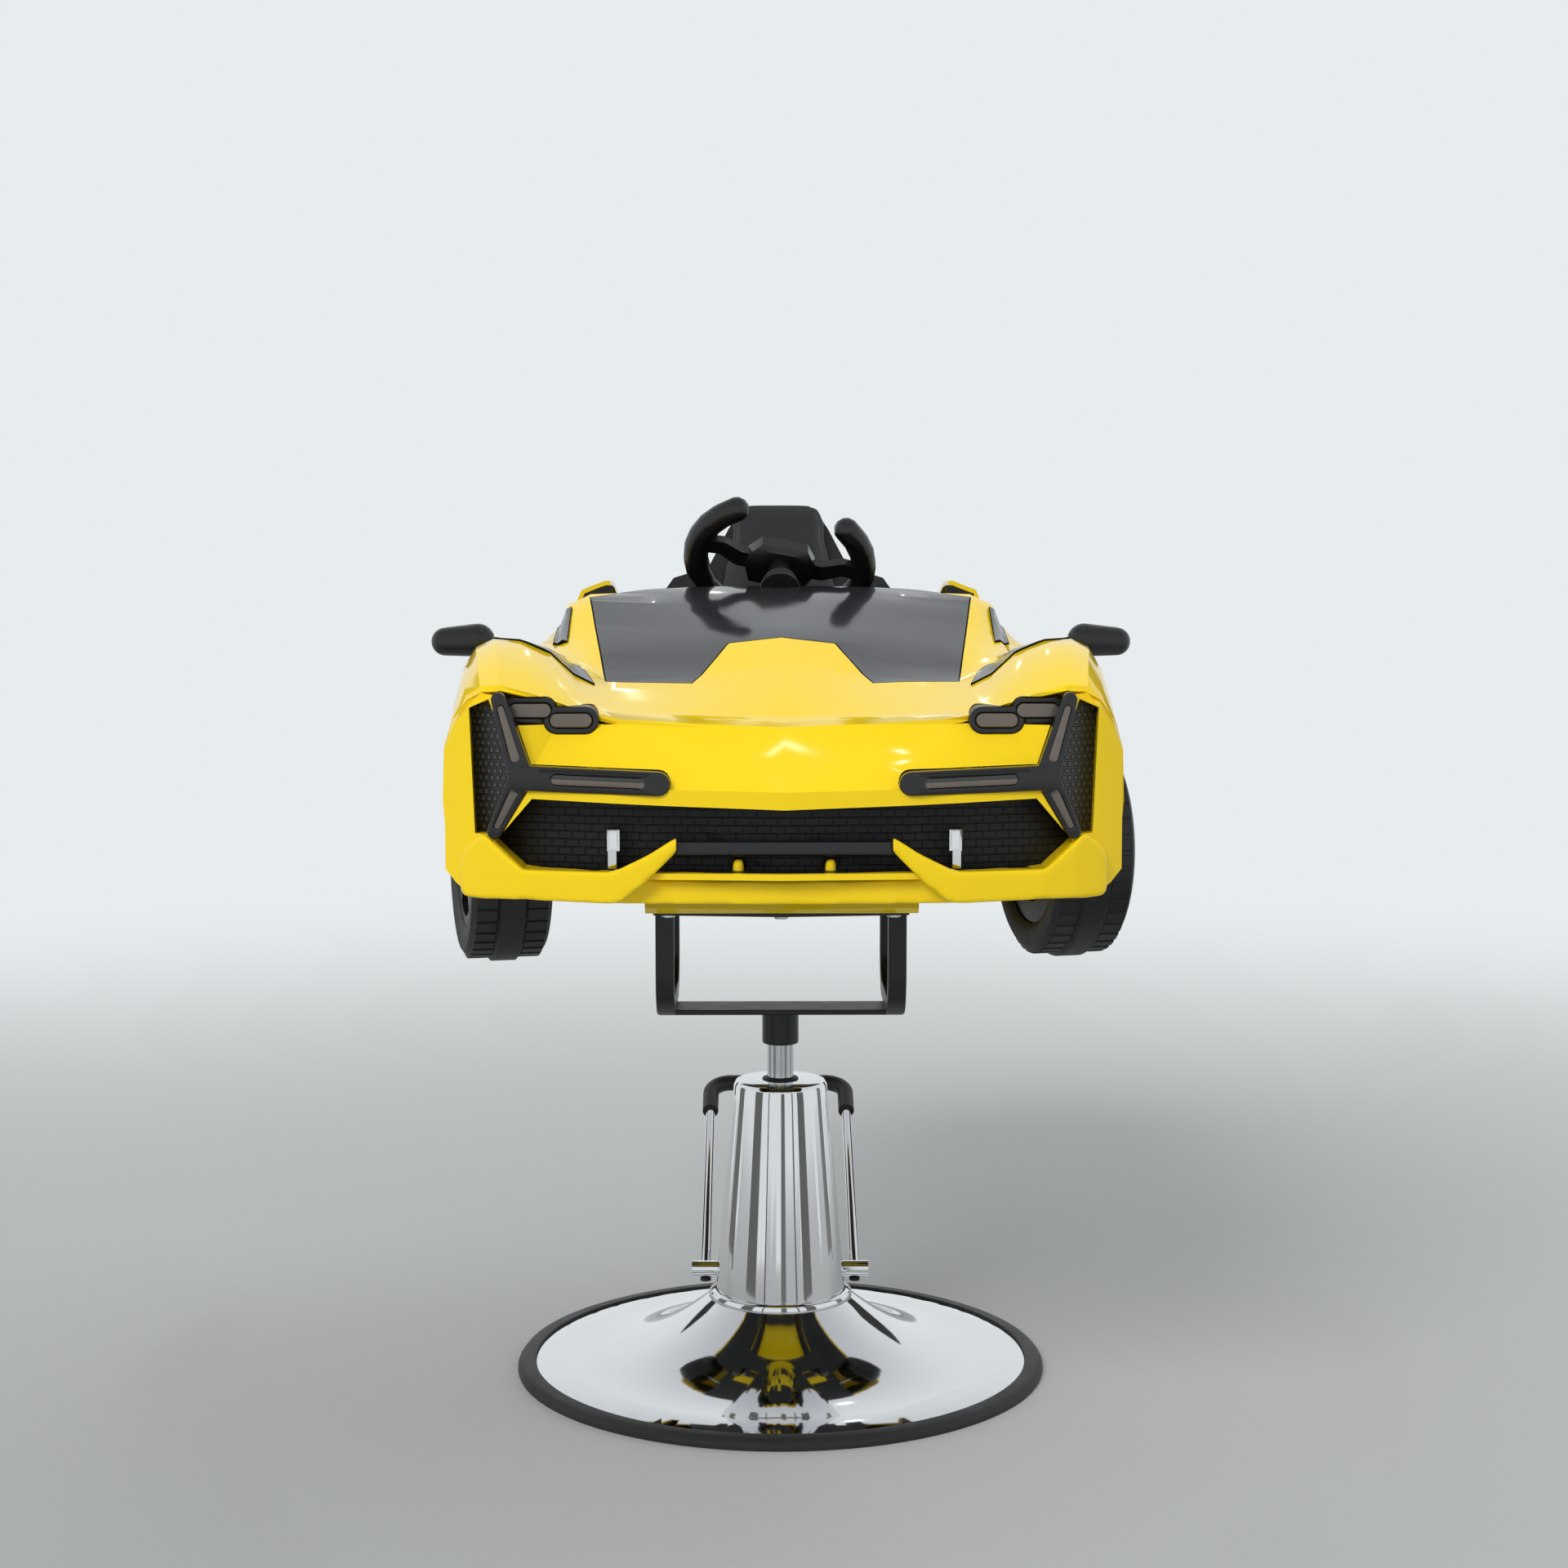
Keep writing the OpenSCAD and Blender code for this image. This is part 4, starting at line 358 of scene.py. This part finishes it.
def pattern(material, group, sizes):
    """The mask of a pattern group, placed in the material with those sizes."""
    placed = material.node_tree.nodes.new("ShaderNodeGroup")
    placed.node_tree = group
    for socket, size in sizes.items():
        placed.inputs[socket].default_value = size
    return placed.outputs[0]


def second_colour(material, mask, colour, where):
    """Gives the material another colour where the mask is 1, or with where=0 where it is 0."""
    nodes, join = material.node_tree.nodes, material.node_tree.links.new
    mix = nodes.new("ShaderNodeMix")
    mix.data_type = "RGBA"
    factor, result, at_0, at_1 = mix.inputs[0], mix.outputs[2], mix.inputs[6], mix.inputs[7]
    own, other = (at_0, at_1) if where else (at_1, at_0)
    other.default_value = (*colour, 1)
    join(mask, factor)
    join(nodes["skin"].outputs["Colour"], own)
    join(result, nodes["Principled BSDF"].inputs["Base Color"])


def raised(material, mask, proud):
    """Lets the mask stand that far proud of the material's surface, or sink in if below 0."""
    nodes, join = material.node_tree.nodes, material.node_tree.links.new
    bump = nodes.new("ShaderNodeBump")
    bump.invert = proud < 0
    bump.inputs["Distance"].default_value = abs(proud)
    join(mask, bump.inputs["Height"])
    join(nodes["skin"].outputs["Normal"], bump.inputs["Normal"])
    join(bump.outputs["Normal"], nodes["Principled BSDF"].inputs["Normal"])


along_arm = along_arm_group()


def striped(material, name, colour, sunk, sizes):
    """A copy of the finish with one strip along the level arm in another colour, sunk so far."""
    copy = material.copy()
    copy.name = name
    strip = pattern(copy, along_arm, sizes)
    second_colour(copy, strip, colour, where=1)
    raised(copy, strip, -sunk)
    return copy


light_black = finish("light_black", (0.011, 0.0105, 0.011), roughness=0.2,
                     mottle=0.15, marks=0.16, grain=0.08, grain_size=500)
# painted shade: the groove's strip is painted near black, darker than the moulding round it
black_with_shaded_groove = striped(
    light_black, "black_with_shaded_groove", (0.003, 0.003, 0.003), sunk=0.0012,
    sizes={"Above": 0.0071, "Half width": 0.0011, "Softness": 0.0006,
           "From x": 0.118, "To x": 0.215})
moulded("light_surrounds", black_with_shaded_groove, voxel=0.0011, rounds=5)


# Lower grille, corner vents and rear trim: trays in grained black plastic whose floor is embossed
# with staggered blocks, moulded in one with it and standing two to four millimetres proud.
def embossed_group():
    """1 on staggered blocks in the plane across the car, 0 in the gaps between them."""
    group, add, join, given, out = new_group(
        "embossed",
        [("Block width", number, 0.011), ("Block height", number, 0.006), ("Gap", number, 0.001)],
        [("Block", number)])
    place, apart = add("ShaderNodeTexCoord"), add("ShaderNodeSeparateXYZ")
    flat, bricks = add("ShaderNodeCombineXYZ"), add("ShaderNodeTexBrick")
    join(place.outputs["Object"], apart.inputs[0])
    join(apart.outputs["X"], flat.inputs["X"])
    join(apart.outputs["Z"], flat.inputs["Y"])
    join(flat.outputs[0], bricks.inputs["Vector"])
    bricks.inputs["Scale"].default_value = 1.0
    bricks.inputs["Mortar Smooth"].default_value = 0.6
    join(given["Block width"], bricks.inputs["Brick Width"])
    join(given["Block height"], bricks.inputs["Row Height"])
    join(given["Gap"], bricks.inputs["Mortar Size"])
    block = calculator(add, join)("SUBTRACT", 1.0, bricks.outputs["Fac"])
    join(block, out["Block"])
    return group


embossed = embossed_group()
grained = {"roughness": 0.4, "mottle": 0.2, "marks": 0.12, "grain": 0.45, "grain_size": 650}
black_plastic = (0.0085, 0.0088, 0.0092)
grained_black = finish("grained_black", black_plastic, **grained)


def mesh_finish(name, colour, specular, proud, sizes):
    """Grained plastic with embossed blocks of those sizes, standing so far proud, with painted shade, near black,
    in the gaps between them.
    """
    material = finish(name, colour, specular=specular, **grained)
    blocks = pattern(material, embossed, sizes)
    raised(material, blocks, proud)
    # painted shade: the gaps between the blocks are painted near black
    second_colour(material, blocks, (0.002, 0.002, 0.002), where=0)
    return material


grille_mesh = mesh_finish(
    "grille_mesh", black_plastic, specular=0.3, proud=0.002,
    sizes={"Block width": 0.0122, "Block height": 0.0071, "Gap": 0.0007})
# painted light: the vents' black plastic is painted a lighter grey than the grille's, to make up for the shade
# they sit in
vent_mesh_lightened = mesh_finish(
    "vent_mesh_lightened", (0.03, 0.031, 0.033), specular=1.0, proud=0.004,
    sizes={"Block width": 0.0056, "Block height": 0.0062, "Gap": 0.0014})
fit("nose_grille", grille_mesh, angle=35)
fit("corner_vents", vent_mesh_lightened, angle=35)
moulded("rear_trim", grille_mesh, voxel=0.0019, rounds=4)

# Lamp housings, dash, tub, haunch panels and chassis floor: plain grained black plastic
# mouldings, screwed to the shell from inside.
moulded("headlamp_housings", light_black, voxel=0.0011, rounds=5)
for node in ("dash_panel", "cockpit_tub", "haunch_panels", "chassis_floor"):
    fit(node, grained_black, angle=35)

# Lenses: smoked plastic strips in the light surrounds, clear brown caps on the lamp pods and red
# tail lights, moulded and pressed into their housings. A band along the level strips is sunk by a
# bump and painted dark, as painted shade in it.
smoke = finish("smoke_lens", (0.12, 0.098, 0.076), roughness=0.1,
               mottle=0.35, mottle_size=60, grain=0.05, grain_size=300, coat=0.5)
# painted shade: the sunk band along the lens strip is painted near black
strip_lens = striped(
    smoke, "strip_lens", (0.02, 0.019, 0.019), sunk=0.001,
    sizes={"Above": 0.0034, "Half width": 0.0026, "Softness": 0.0006,
           "From x": 0.1, "To x": 0.24})
red = finish("red_lens", (0.36, 0.008, 0.006), roughness=0.2,
             mottle=0.25, mottle_size=90, marks=0.08, grain=0.3, grain_size=260, coat=0.15)
fit("light_lenses", strip_lens, edge=0.0006)
fit("headlamp_lenses", smoke, edge=0.0012, steps=3)
fit("tail_lights", red, edge=0.0028, steps=4)

# Tow hooks: two chromed plastic hooks that stand out of the grille, each a flat head with a
# shallow recess on a narrower shank. They are pushed into the tray from the front.
hook_low, hook_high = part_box("tow_hooks")
hook_width, head_height, foot_gap = 0.011, 0.019, 0.0002
shank_inset, shank_outward = 0.0017, 0.0012
recess_from_top, recess_inset, recess_depth, recess_up = 0.012, 0.0026, 0.0022, 0.0016
front_y, lean_back, hook_height = -0.48, 0.003, 0.035
shank_length = hook_high[2] - hook_low[2] - head_height - foot_gap
for side in (-1, 1):
    outer = hook_high[0] - hook_width / 2
    bpy.ops.object.select_all(action="DESELECT")
    bpy.ops.mesh.primitive_cube_add(size=1, location=(
        side * outer, (hook_low[1] + hook_high[1]) / 2, hook_high[2] - head_height / 2))
    hook = bpy.context.active_object
    hook.name = "hook_right" if side > 0 else "hook_left"
    bpy.ops.transform.resize(value=(hook_width, hook_high[1] - hook_low[1], head_height))
    bpy.ops.object.transform_apply(location=True, rotation=True, scale=True)
    for face in hook.data.polygons:
        face.select = face.normal.z < -0.5
    bpy.ops.object.mode_set(mode="EDIT")
    bpy.ops.mesh.inset(thickness=shank_inset)
    bpy.ops.transform.translate(value=(side * shank_outward, 0, 0))
    bpy.ops.mesh.extrude_region_move(TRANSFORM_OT_translate={"value": (0, 0, -shank_length)})
    bpy.ops.object.mode_set(mode="OBJECT")
    for face in hook.data.polygons:
        face.select = face.normal.y < -0.9 and face.center.z > hook_high[2] - recess_from_top
    bpy.ops.object.mode_set(mode="EDIT")
    bpy.ops.mesh.inset(thickness=recess_inset)
    bpy.ops.transform.translate(value=(0, recess_depth, recess_up))
    bpy.ops.object.mode_set(mode="OBJECT")
    for vertex in hook.data.vertices:
        if vertex.co.y < front_y:
            vertex.co.y += lean_back * (hook_high[2] - vertex.co.z) / hook_height
    broken_edges(hook, edge=0.0009, steps=3)
    stand_in(hook, "tow_hooks", chrome)

# Mirror glasses: mirror film on small oval plates of plastic. They are pressed into the mirror
# shells from behind, on the child's side.
fit("mirror_glass", chrome, edge=0.0003)

# Seat: a moulded black plastic shell, screwed into the car's tub, with two foam cushions in
# sewn black vinyl covers that lie against it.
vinyl = finish("black_vinyl", (0.012, 0.0125, 0.0135), roughness=0.34,
               mottle=0.15, marks=0.14, grain=0.5, grain_size=380)
fit("seat_shell", grained_black, edge=0.003)


def stuffed(node, across, swell):
    """A foam pad in a sewn cover: blown up by its stuffing as far as swell, and drawn in along
    its two edge seams. across is the way through the pad's thickness."""
    weave, pressure, last_step = 0.005, 4, 20
    seam_share, seam_width, seam_depth = 0.42, 0.0018, 0.0016
    pad = merged_copy(node)
    even = pad.modifiers.new("even_mesh", "REMESH")
    even.mode = "VOXEL"
    even.voxel_size = weave
    bpy.ops.object.modifier_apply(modifier=even.name)
    rest = [v.co.copy() for v in pad.data.vertices]
    cloth = pad.modifiers.new("cover", "CLOTH")
    cloth.settings.quality = 5
    cloth.settings.use_pressure = True
    cloth.settings.uniform_pressure_force = pressure
    cloth.settings.effector_weights.gravity = 0
    scene = bpy.context.scene
    for step in range(1, last_step + 1):
        scene.frame_set(step)
    shaped = pad.evaluated_get(bpy.context.evaluated_depsgraph_get())
    blown = [v.co.copy() for v in shaped.data.vertices]
    pad.modifiers.remove(cloth)
    scene.frame_set(1)
    for vertex, was, now in zip(pad.data.vertices, rest, blown):
        move = now - was
        vertex.co = was + (move if move.length < swell else move.normalized() * swell)
    finer = pad.modifiers.new("finer", "SUBSURF")
    finer.levels = finer.render_levels = 1
    bpy.ops.object.modifier_apply(modifier=finer.name)
    vertices = pad.data.vertices
    middle = sum((v.co for v in vertices), Vector()) / len(vertices)
    reach = max(abs((v.co - middle).dot(across)) for v in vertices)
    normals = [v.normal.copy() for v in vertices]
    for vertex, normal in zip(vertices, normals):
        share = (vertex.co - middle).dot(across) / reach
        edge_on = 1 - abs(normal.dot(across))
        seam = math.exp(-(((abs(share) - seam_share) * reach / seam_width) ** 2))
        vertex.co -= normal * seam_depth * seam * min(1, 2 * edge_on)
    bpy.ops.object.shade_smooth()
    stand_in(pad, node, vinyl)


lean = math.radians(11)
stuffed("back_cushion", across=Vector((0, math.cos(lean), -math.sin(lean))), swell=0.004)
stuffed("seat_cushion", across=Vector((0, 0, 1)), swell=0.004)

# Steering: moulded wheel with thick grips, its horn button and a steel column that runs down
# through the dash. A ribbed rubber boot closes the hole round the column.
fit("steering_wheel", gloss_black, angle=40)
fit("steering_column", gloss_black, edge=0.0004)
fit("horn_button", grained_black, edge=0.0006)
column_slope = math.radians(36)
column_line = Vector((0, math.cos(column_slope), math.sin(column_slope)))
boot_foot = Vector((0, 0.075, 0.8685)) - 0.052 * column_line
boot_folds = [(0.004, 1.0), (0.0025, 0.84), (0.003, 1.1), (0.0025, 0.84), (0.003, 1.1),
              (0.002, 0.85), (0.002, 0.8)]
bpy.ops.object.select_all(action="DESELECT")
bpy.ops.mesh.primitive_circle_add(vertices=48, radius=0.0215, fill_type="NGON")
boot = bpy.context.active_object
boot.name = "column_boot"
bpy.ops.object.mode_set(mode="EDIT")
bpy.ops.mesh.select_all(action="SELECT")
height = 0
for rise, narrow in boot_folds:
    height += rise
    bpy.ops.mesh.extrude_region_move(TRANSFORM_OT_translate={"value": (0, 0, rise)})
    bpy.ops.transform.resize(value=(narrow, narrow, 1), center_override=(0, 0, height))
bpy.ops.mesh.select_all(action="SELECT")
bpy.ops.mesh.normals_make_consistent(inside=False)
bpy.ops.object.mode_set(mode="OBJECT")
boot.rotation_euler = column_line.to_track_quat("Z", "Y").to_euler()
boot.location = boot_foot
bpy.ops.object.transform_apply(location=True, rotation=True, scale=True)
broken_edges(boot, edge=0.0008, steps=3, angle=25)
boot.data.materials.append(grip_rubber)
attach(boot, "carriage")

# Running gear: painted steel axle beam and knuckles on their kingpins, bright axle rod and tie
# rod. They are bolted under the chassis floor and pinned to each other.
for node in ("front_axle_beam", "knuckle_left", "knuckle_right"):
    fit(node, dark_steel, edge=0.0008)
for node in ("rear_axle_rod", "tie_rod"):
    fit(node, bright_steel, edge=0.0005)

# Road wheels: hollow moulded black plastic with tread blocks, ribbed rims and yellow fins that
# snap in between the spokes. They turn on the knuckles in front and on the axle rod behind.
tyre_black = finish("tyre_black", (0.0085, 0.0088, 0.009), roughness=0.42,
                    mottle=0.2, marks=0.15, grain=0.35, grain_size=500)
rim_black = finish("rim_black", (0.008, 0.0083, 0.009), roughness=0.22,
                   mottle=0.15, marks=0.15, grain_size=400)


def tread_group():
    """Height of the fine ribs round the tyre's crown and of the saw teeth on its shoulders."""
    ribs, rib_half_band, rib_height = 150, 0.0105, 0.6
    teeth, shoulder, tooth_root, tooth_reach = 64, 0.033, 0.081, 0.022
    group, add, join, _, out = new_group("tread", [], [("Height", number)])
    around, apart = add("ShaderNodeAttribute"), add("ShaderNodeSeparateXYZ")
    around.attribute_name = "around"
    join(around.outputs["Vector"], apart.inputs[0])
    sum_of = calculator(add, join)
    turn, across, reach = apart.outputs
    wave = sum_of("PINGPONG", sum_of("MULTIPLY", turn, ribs), 0.5)
    on_crown = sum_of("LESS_THAN", sum_of("ABSOLUTE", across), rib_half_band)
    rib = sum_of("MULTIPLY", sum_of("GREATER_THAN", wave, 0.2), on_crown)
    saw = sum_of("FRACT", sum_of("MULTIPLY", turn, teeth))
    rise = sum_of("DIVIDE", sum_of("SUBTRACT", reach, tooth_root), tooth_reach)
    on_shoulder = sum_of("GREATER_THAN", sum_of("ABSOLUTE", across), shoulder)
    tooth = sum_of("MULTIPLY", sum_of("GREATER_THAN", rise, saw), on_shoulder)
    join(sum_of("ADD", sum_of("MULTIPLY", rib, rib_height), tooth), out["Height"])
    return group


raised(tyre_black, pattern(tyre_black, tread_group(), {}), proud=0.0014)


def mark_around(part, node):
    """Turns round the axle, distance from the wheel's middle and radius, kept on each corner."""
    spin = next(j for j in frame["joints"] if j["child"] == node)
    centre, axle = Vector(spin["pos_m"]), Vector(spin["axis"]).normalized()
    up = Vector((0, 0, 1))
    ahead = axle.cross(up)
    offsets = [(v.co - centre).dot(axle) for v in part.data.vertices]
    middle = (min(offsets) + max(offsets)) / 2
    kept = part.data.attributes.new("around", "FLOAT_VECTOR", "CORNER")
    for face in part.data.polygons:
        first = None
        for corner in face.loop_indices:
            reach = part.data.vertices[part.data.loops[corner].vertex_index].co - centre
            turn = math.atan2(reach.dot(up), reach.dot(ahead)) / (2 * math.pi)
            first = turn if first is None else first
            turn += round(first - turn)
            across = reach.dot(axle)
            kept.data[corner].vector = (turn, across - middle, (reach - axle * across).length)


for node in ("wheel_front_left", "wheel_front_right", "wheel_rear_left", "wheel_rear_right"):
    whole = merged_copy(node)
    broken_edges(whole, edge=0.0007)
    bpy.ops.object.mode_set(mode="EDIT")
    bpy.ops.mesh.select_all(action="SELECT")
    bpy.ops.mesh.separate(type="LOOSE")
    bpy.ops.object.mode_set(mode="OBJECT")
    # the tyre stands highest, then the rim, then the fins
    parts = sorted(bpy.context.selected_objects,
                   key=lambda part: -max(v.co.z for v in part.data.vertices))
    for part, name, look in zip(parts, ("tyre", "rim", "fins"), (tyre_black, rim_black, yellow)):
        part.name = name + "_" + node
        if name == "tyre":
            mark_around(part, node)
        part.data.materials.clear()
        stand_in(part, node, look)

# Studio: a pale floor that runs out into a white background, soft light from all round, two broad
# lamps as far off as the sun, four small round ones that give the highlights on the hood and the
# chrome, and grey and black boards, out of the camera's sight, that draw the chrome's streaks.
background = (0.8, 0.835, 0.85, 1)


def seen_straight(nodes, join):
    """1 for what the camera sees straight, in a mirror or through glass."""
    path = nodes.new("ShaderNodeLightPath").outputs
    most_of = calculator(nodes.new, join)
    return most_of("MAXIMUM", most_of("MAXIMUM", path["Is Camera Ray"], path["Is Glossy Ray"]),
                   path["Is Transmission Ray"])


bpy.ops.object.select_all(action="DESELECT")
bpy.ops.mesh.primitive_plane_add(size=30, location=(0, 0, 0))
floor = bpy.context.active_object
floor.name = "floor"
floor_paint = finish("floor_paint", (0.46, 0.475, 0.47), roughness=0.6,
                     mottle=0.05, mottle_size=1.5, marks=0.1, grain=0.05, grain_size=60)
fade_from, fade_to = 0.7, 4.2
f_nodes, f_join = floor_paint.node_tree.nodes, floor_paint.node_tree.links.new
place, far = f_nodes.new("ShaderNodeTexCoord"), f_nodes.new("ShaderNodeVectorMath")
far.operation = "LENGTH"
fade = f_nodes.new("ShaderNodeMapRange")
fade.interpolation_type = "SMOOTHERSTEP"
fade.inputs["From Min"].default_value = fade_from
fade.inputs["From Max"].default_value = fade_to
glow, blend_out = f_nodes.new("ShaderNodeEmission"), f_nodes.new("ShaderNodeMixShader")
glow.inputs["Color"].default_value = background
f_join(place.outputs["Object"], far.inputs[0])
f_join(far.outputs["Value"], fade.inputs["Value"])
share = calculator(f_nodes.new, f_join)(
    "MULTIPLY", fade.outputs["Result"], seen_straight(f_nodes, f_join))
f_join(share, blend_out.inputs["Fac"])
f_join(f_nodes["Principled BSDF"].outputs[0], blend_out.inputs[1])
f_join(glow.outputs[0], blend_out.inputs[2])
f_join(blend_out.outputs[0], f_nodes["Material Output"].inputs["Surface"])
floor.data.materials.append(floor_paint)

board_black = finish("board_black", (0.03, 0.03, 0.03), roughness=0.9, mottle=0.2, marks=0.0)
board_grey = finish("board_grey", (0.33, 0.335, 0.33), roughness=0.9,
                    mottle=0.3, mottle_size=4, marks=0.0)
board_foot = 0.02
for name, paint, azimuth, far, width, height in [
        ("board_1", board_grey, -52, 0.6, 0.2, 0.5), ("board_2", board_grey, 47, 0.6, 0.17, 0.5),
        ("board_3", board_black, -27, 0.6, 0.02, 0.5), ("board_4", board_grey, 27, 0.6, 0.03, 0.5),
        ("board_5", board_grey, 5, 0.62, 0.09, 0.5), ("board_6", board_grey, -104, 0.7, 0.22, 0.5),
        ("board_7", board_grey, 104, 0.7, 0.16, 0.5), ("board_8", board_black, 148, 2.8, 0.5, 1.4),
        ("board_9", board_black, -144, 2.8, 0.4, 1.5)]:
    x, y = far * math.sin(math.radians(azimuth)), -far * math.cos(math.radians(azimuth))
    bpy.ops.object.select_all(action="DESELECT")
    bpy.ops.mesh.primitive_plane_add(size=1)
    board = bpy.context.active_object
    board.name = name
    bpy.ops.transform.resize(value=(width, height, 1))
    board.rotation_euler = (math.radians(90), 0, math.atan2(y, x) + math.radians(90))
    board.location = (x, y, height / 2 + board_foot)
    bpy.ops.object.transform_apply(location=True, rotation=True, scale=True)
    board.visible_camera = board.visible_diffuse = board.visible_shadow = False
    board.data.materials.append(paint)

world = bpy.data.worlds.new("studio")
bpy.context.scene.world = world
world.use_nodes = True
w_nodes, w_join = world.node_tree.nodes, world.node_tree.links.new
seen = w_nodes["Background"]
seen.inputs["Strength"].default_value = 1.0
sky, sky_height = w_nodes.new("ShaderNodeTexCoord"), w_nodes.new("ShaderNodeSeparateXYZ")
ceiling = w_nodes.new("ShaderNodeValToRGB")
ceiling.color_ramp.interpolation = "EASE"
for stop, position, tone in zip(ceiling.color_ramp.elements, (0.3, 0.95),
                                (background, (0.52, 0.54, 0.57, 1))):
    stop.position = position
    stop.color = tone
w_join(sky.outputs["Generated"], sky_height.inputs[0])
w_join(sky_height.outputs["Z"], ceiling.inputs["Fac"])
w_join(ceiling.outputs["Color"], seen.inputs["Color"])
soft = w_nodes.new("ShaderNodeBackground")
soft.inputs["Color"].default_value = (0.95, 0.97, 1, 1)
soft.inputs["Strength"].default_value = 0.6
mix = w_nodes.new("ShaderNodeMixShader")
w_join(seen_straight(w_nodes, w_join), mix.inputs["Fac"])
w_join(soft.outputs[0], mix.inputs[1])
w_join(seen.outputs[0], mix.inputs[2])
w_join(mix.outputs[0], w_nodes["World Output"].inputs["Surface"])


def lamp(name, kind, energy, aim):
    """A lamp of that kind and energy whose back is turned to aim, which is where it shines from."""
    light = bpy.data.objects.new(name, bpy.data.lights.new(name, kind))
    light.data.energy = energy
    light.rotation_euler = aim.to_track_quat("Z", "Y").to_euler()
    bpy.context.scene.collection.objects.link(light)
    return light


for name, place, energy, angle in [("key", (-0.55, -1.0, 0.85), 1.6, 24),
                                   ("fill", (0.8, 0.5, 0.9), 0.6, 40)]:
    sun = lamp(name, "SUN", energy, aim=Vector(place))
    sun.data.angle = math.radians(angle)
    sun.visible_glossy = False
car_middle = Vector((0, -0.3, 0.8))
for name, place, size, power in [
        ("spot_1", (0.05, -0.08, 2.4), 0.03, 0.1), ("spot_2", (0.25, -0.4, 2.4), 0.04, 0.3),
        ("spot_3", (-0.16, 3.4, 2.1), 0.06, 0.12), ("spot_4", (0.33, 2.9, 2.1), 0.06, 0.12)]:
    spot = lamp(name, "AREA", power, aim=Vector(place) - car_middle)
    spot.data.shape = "DISK"
    spot.data.size = size
    spot.location = place
bpy.context.scene.view_settings.view_transform = "Standard"
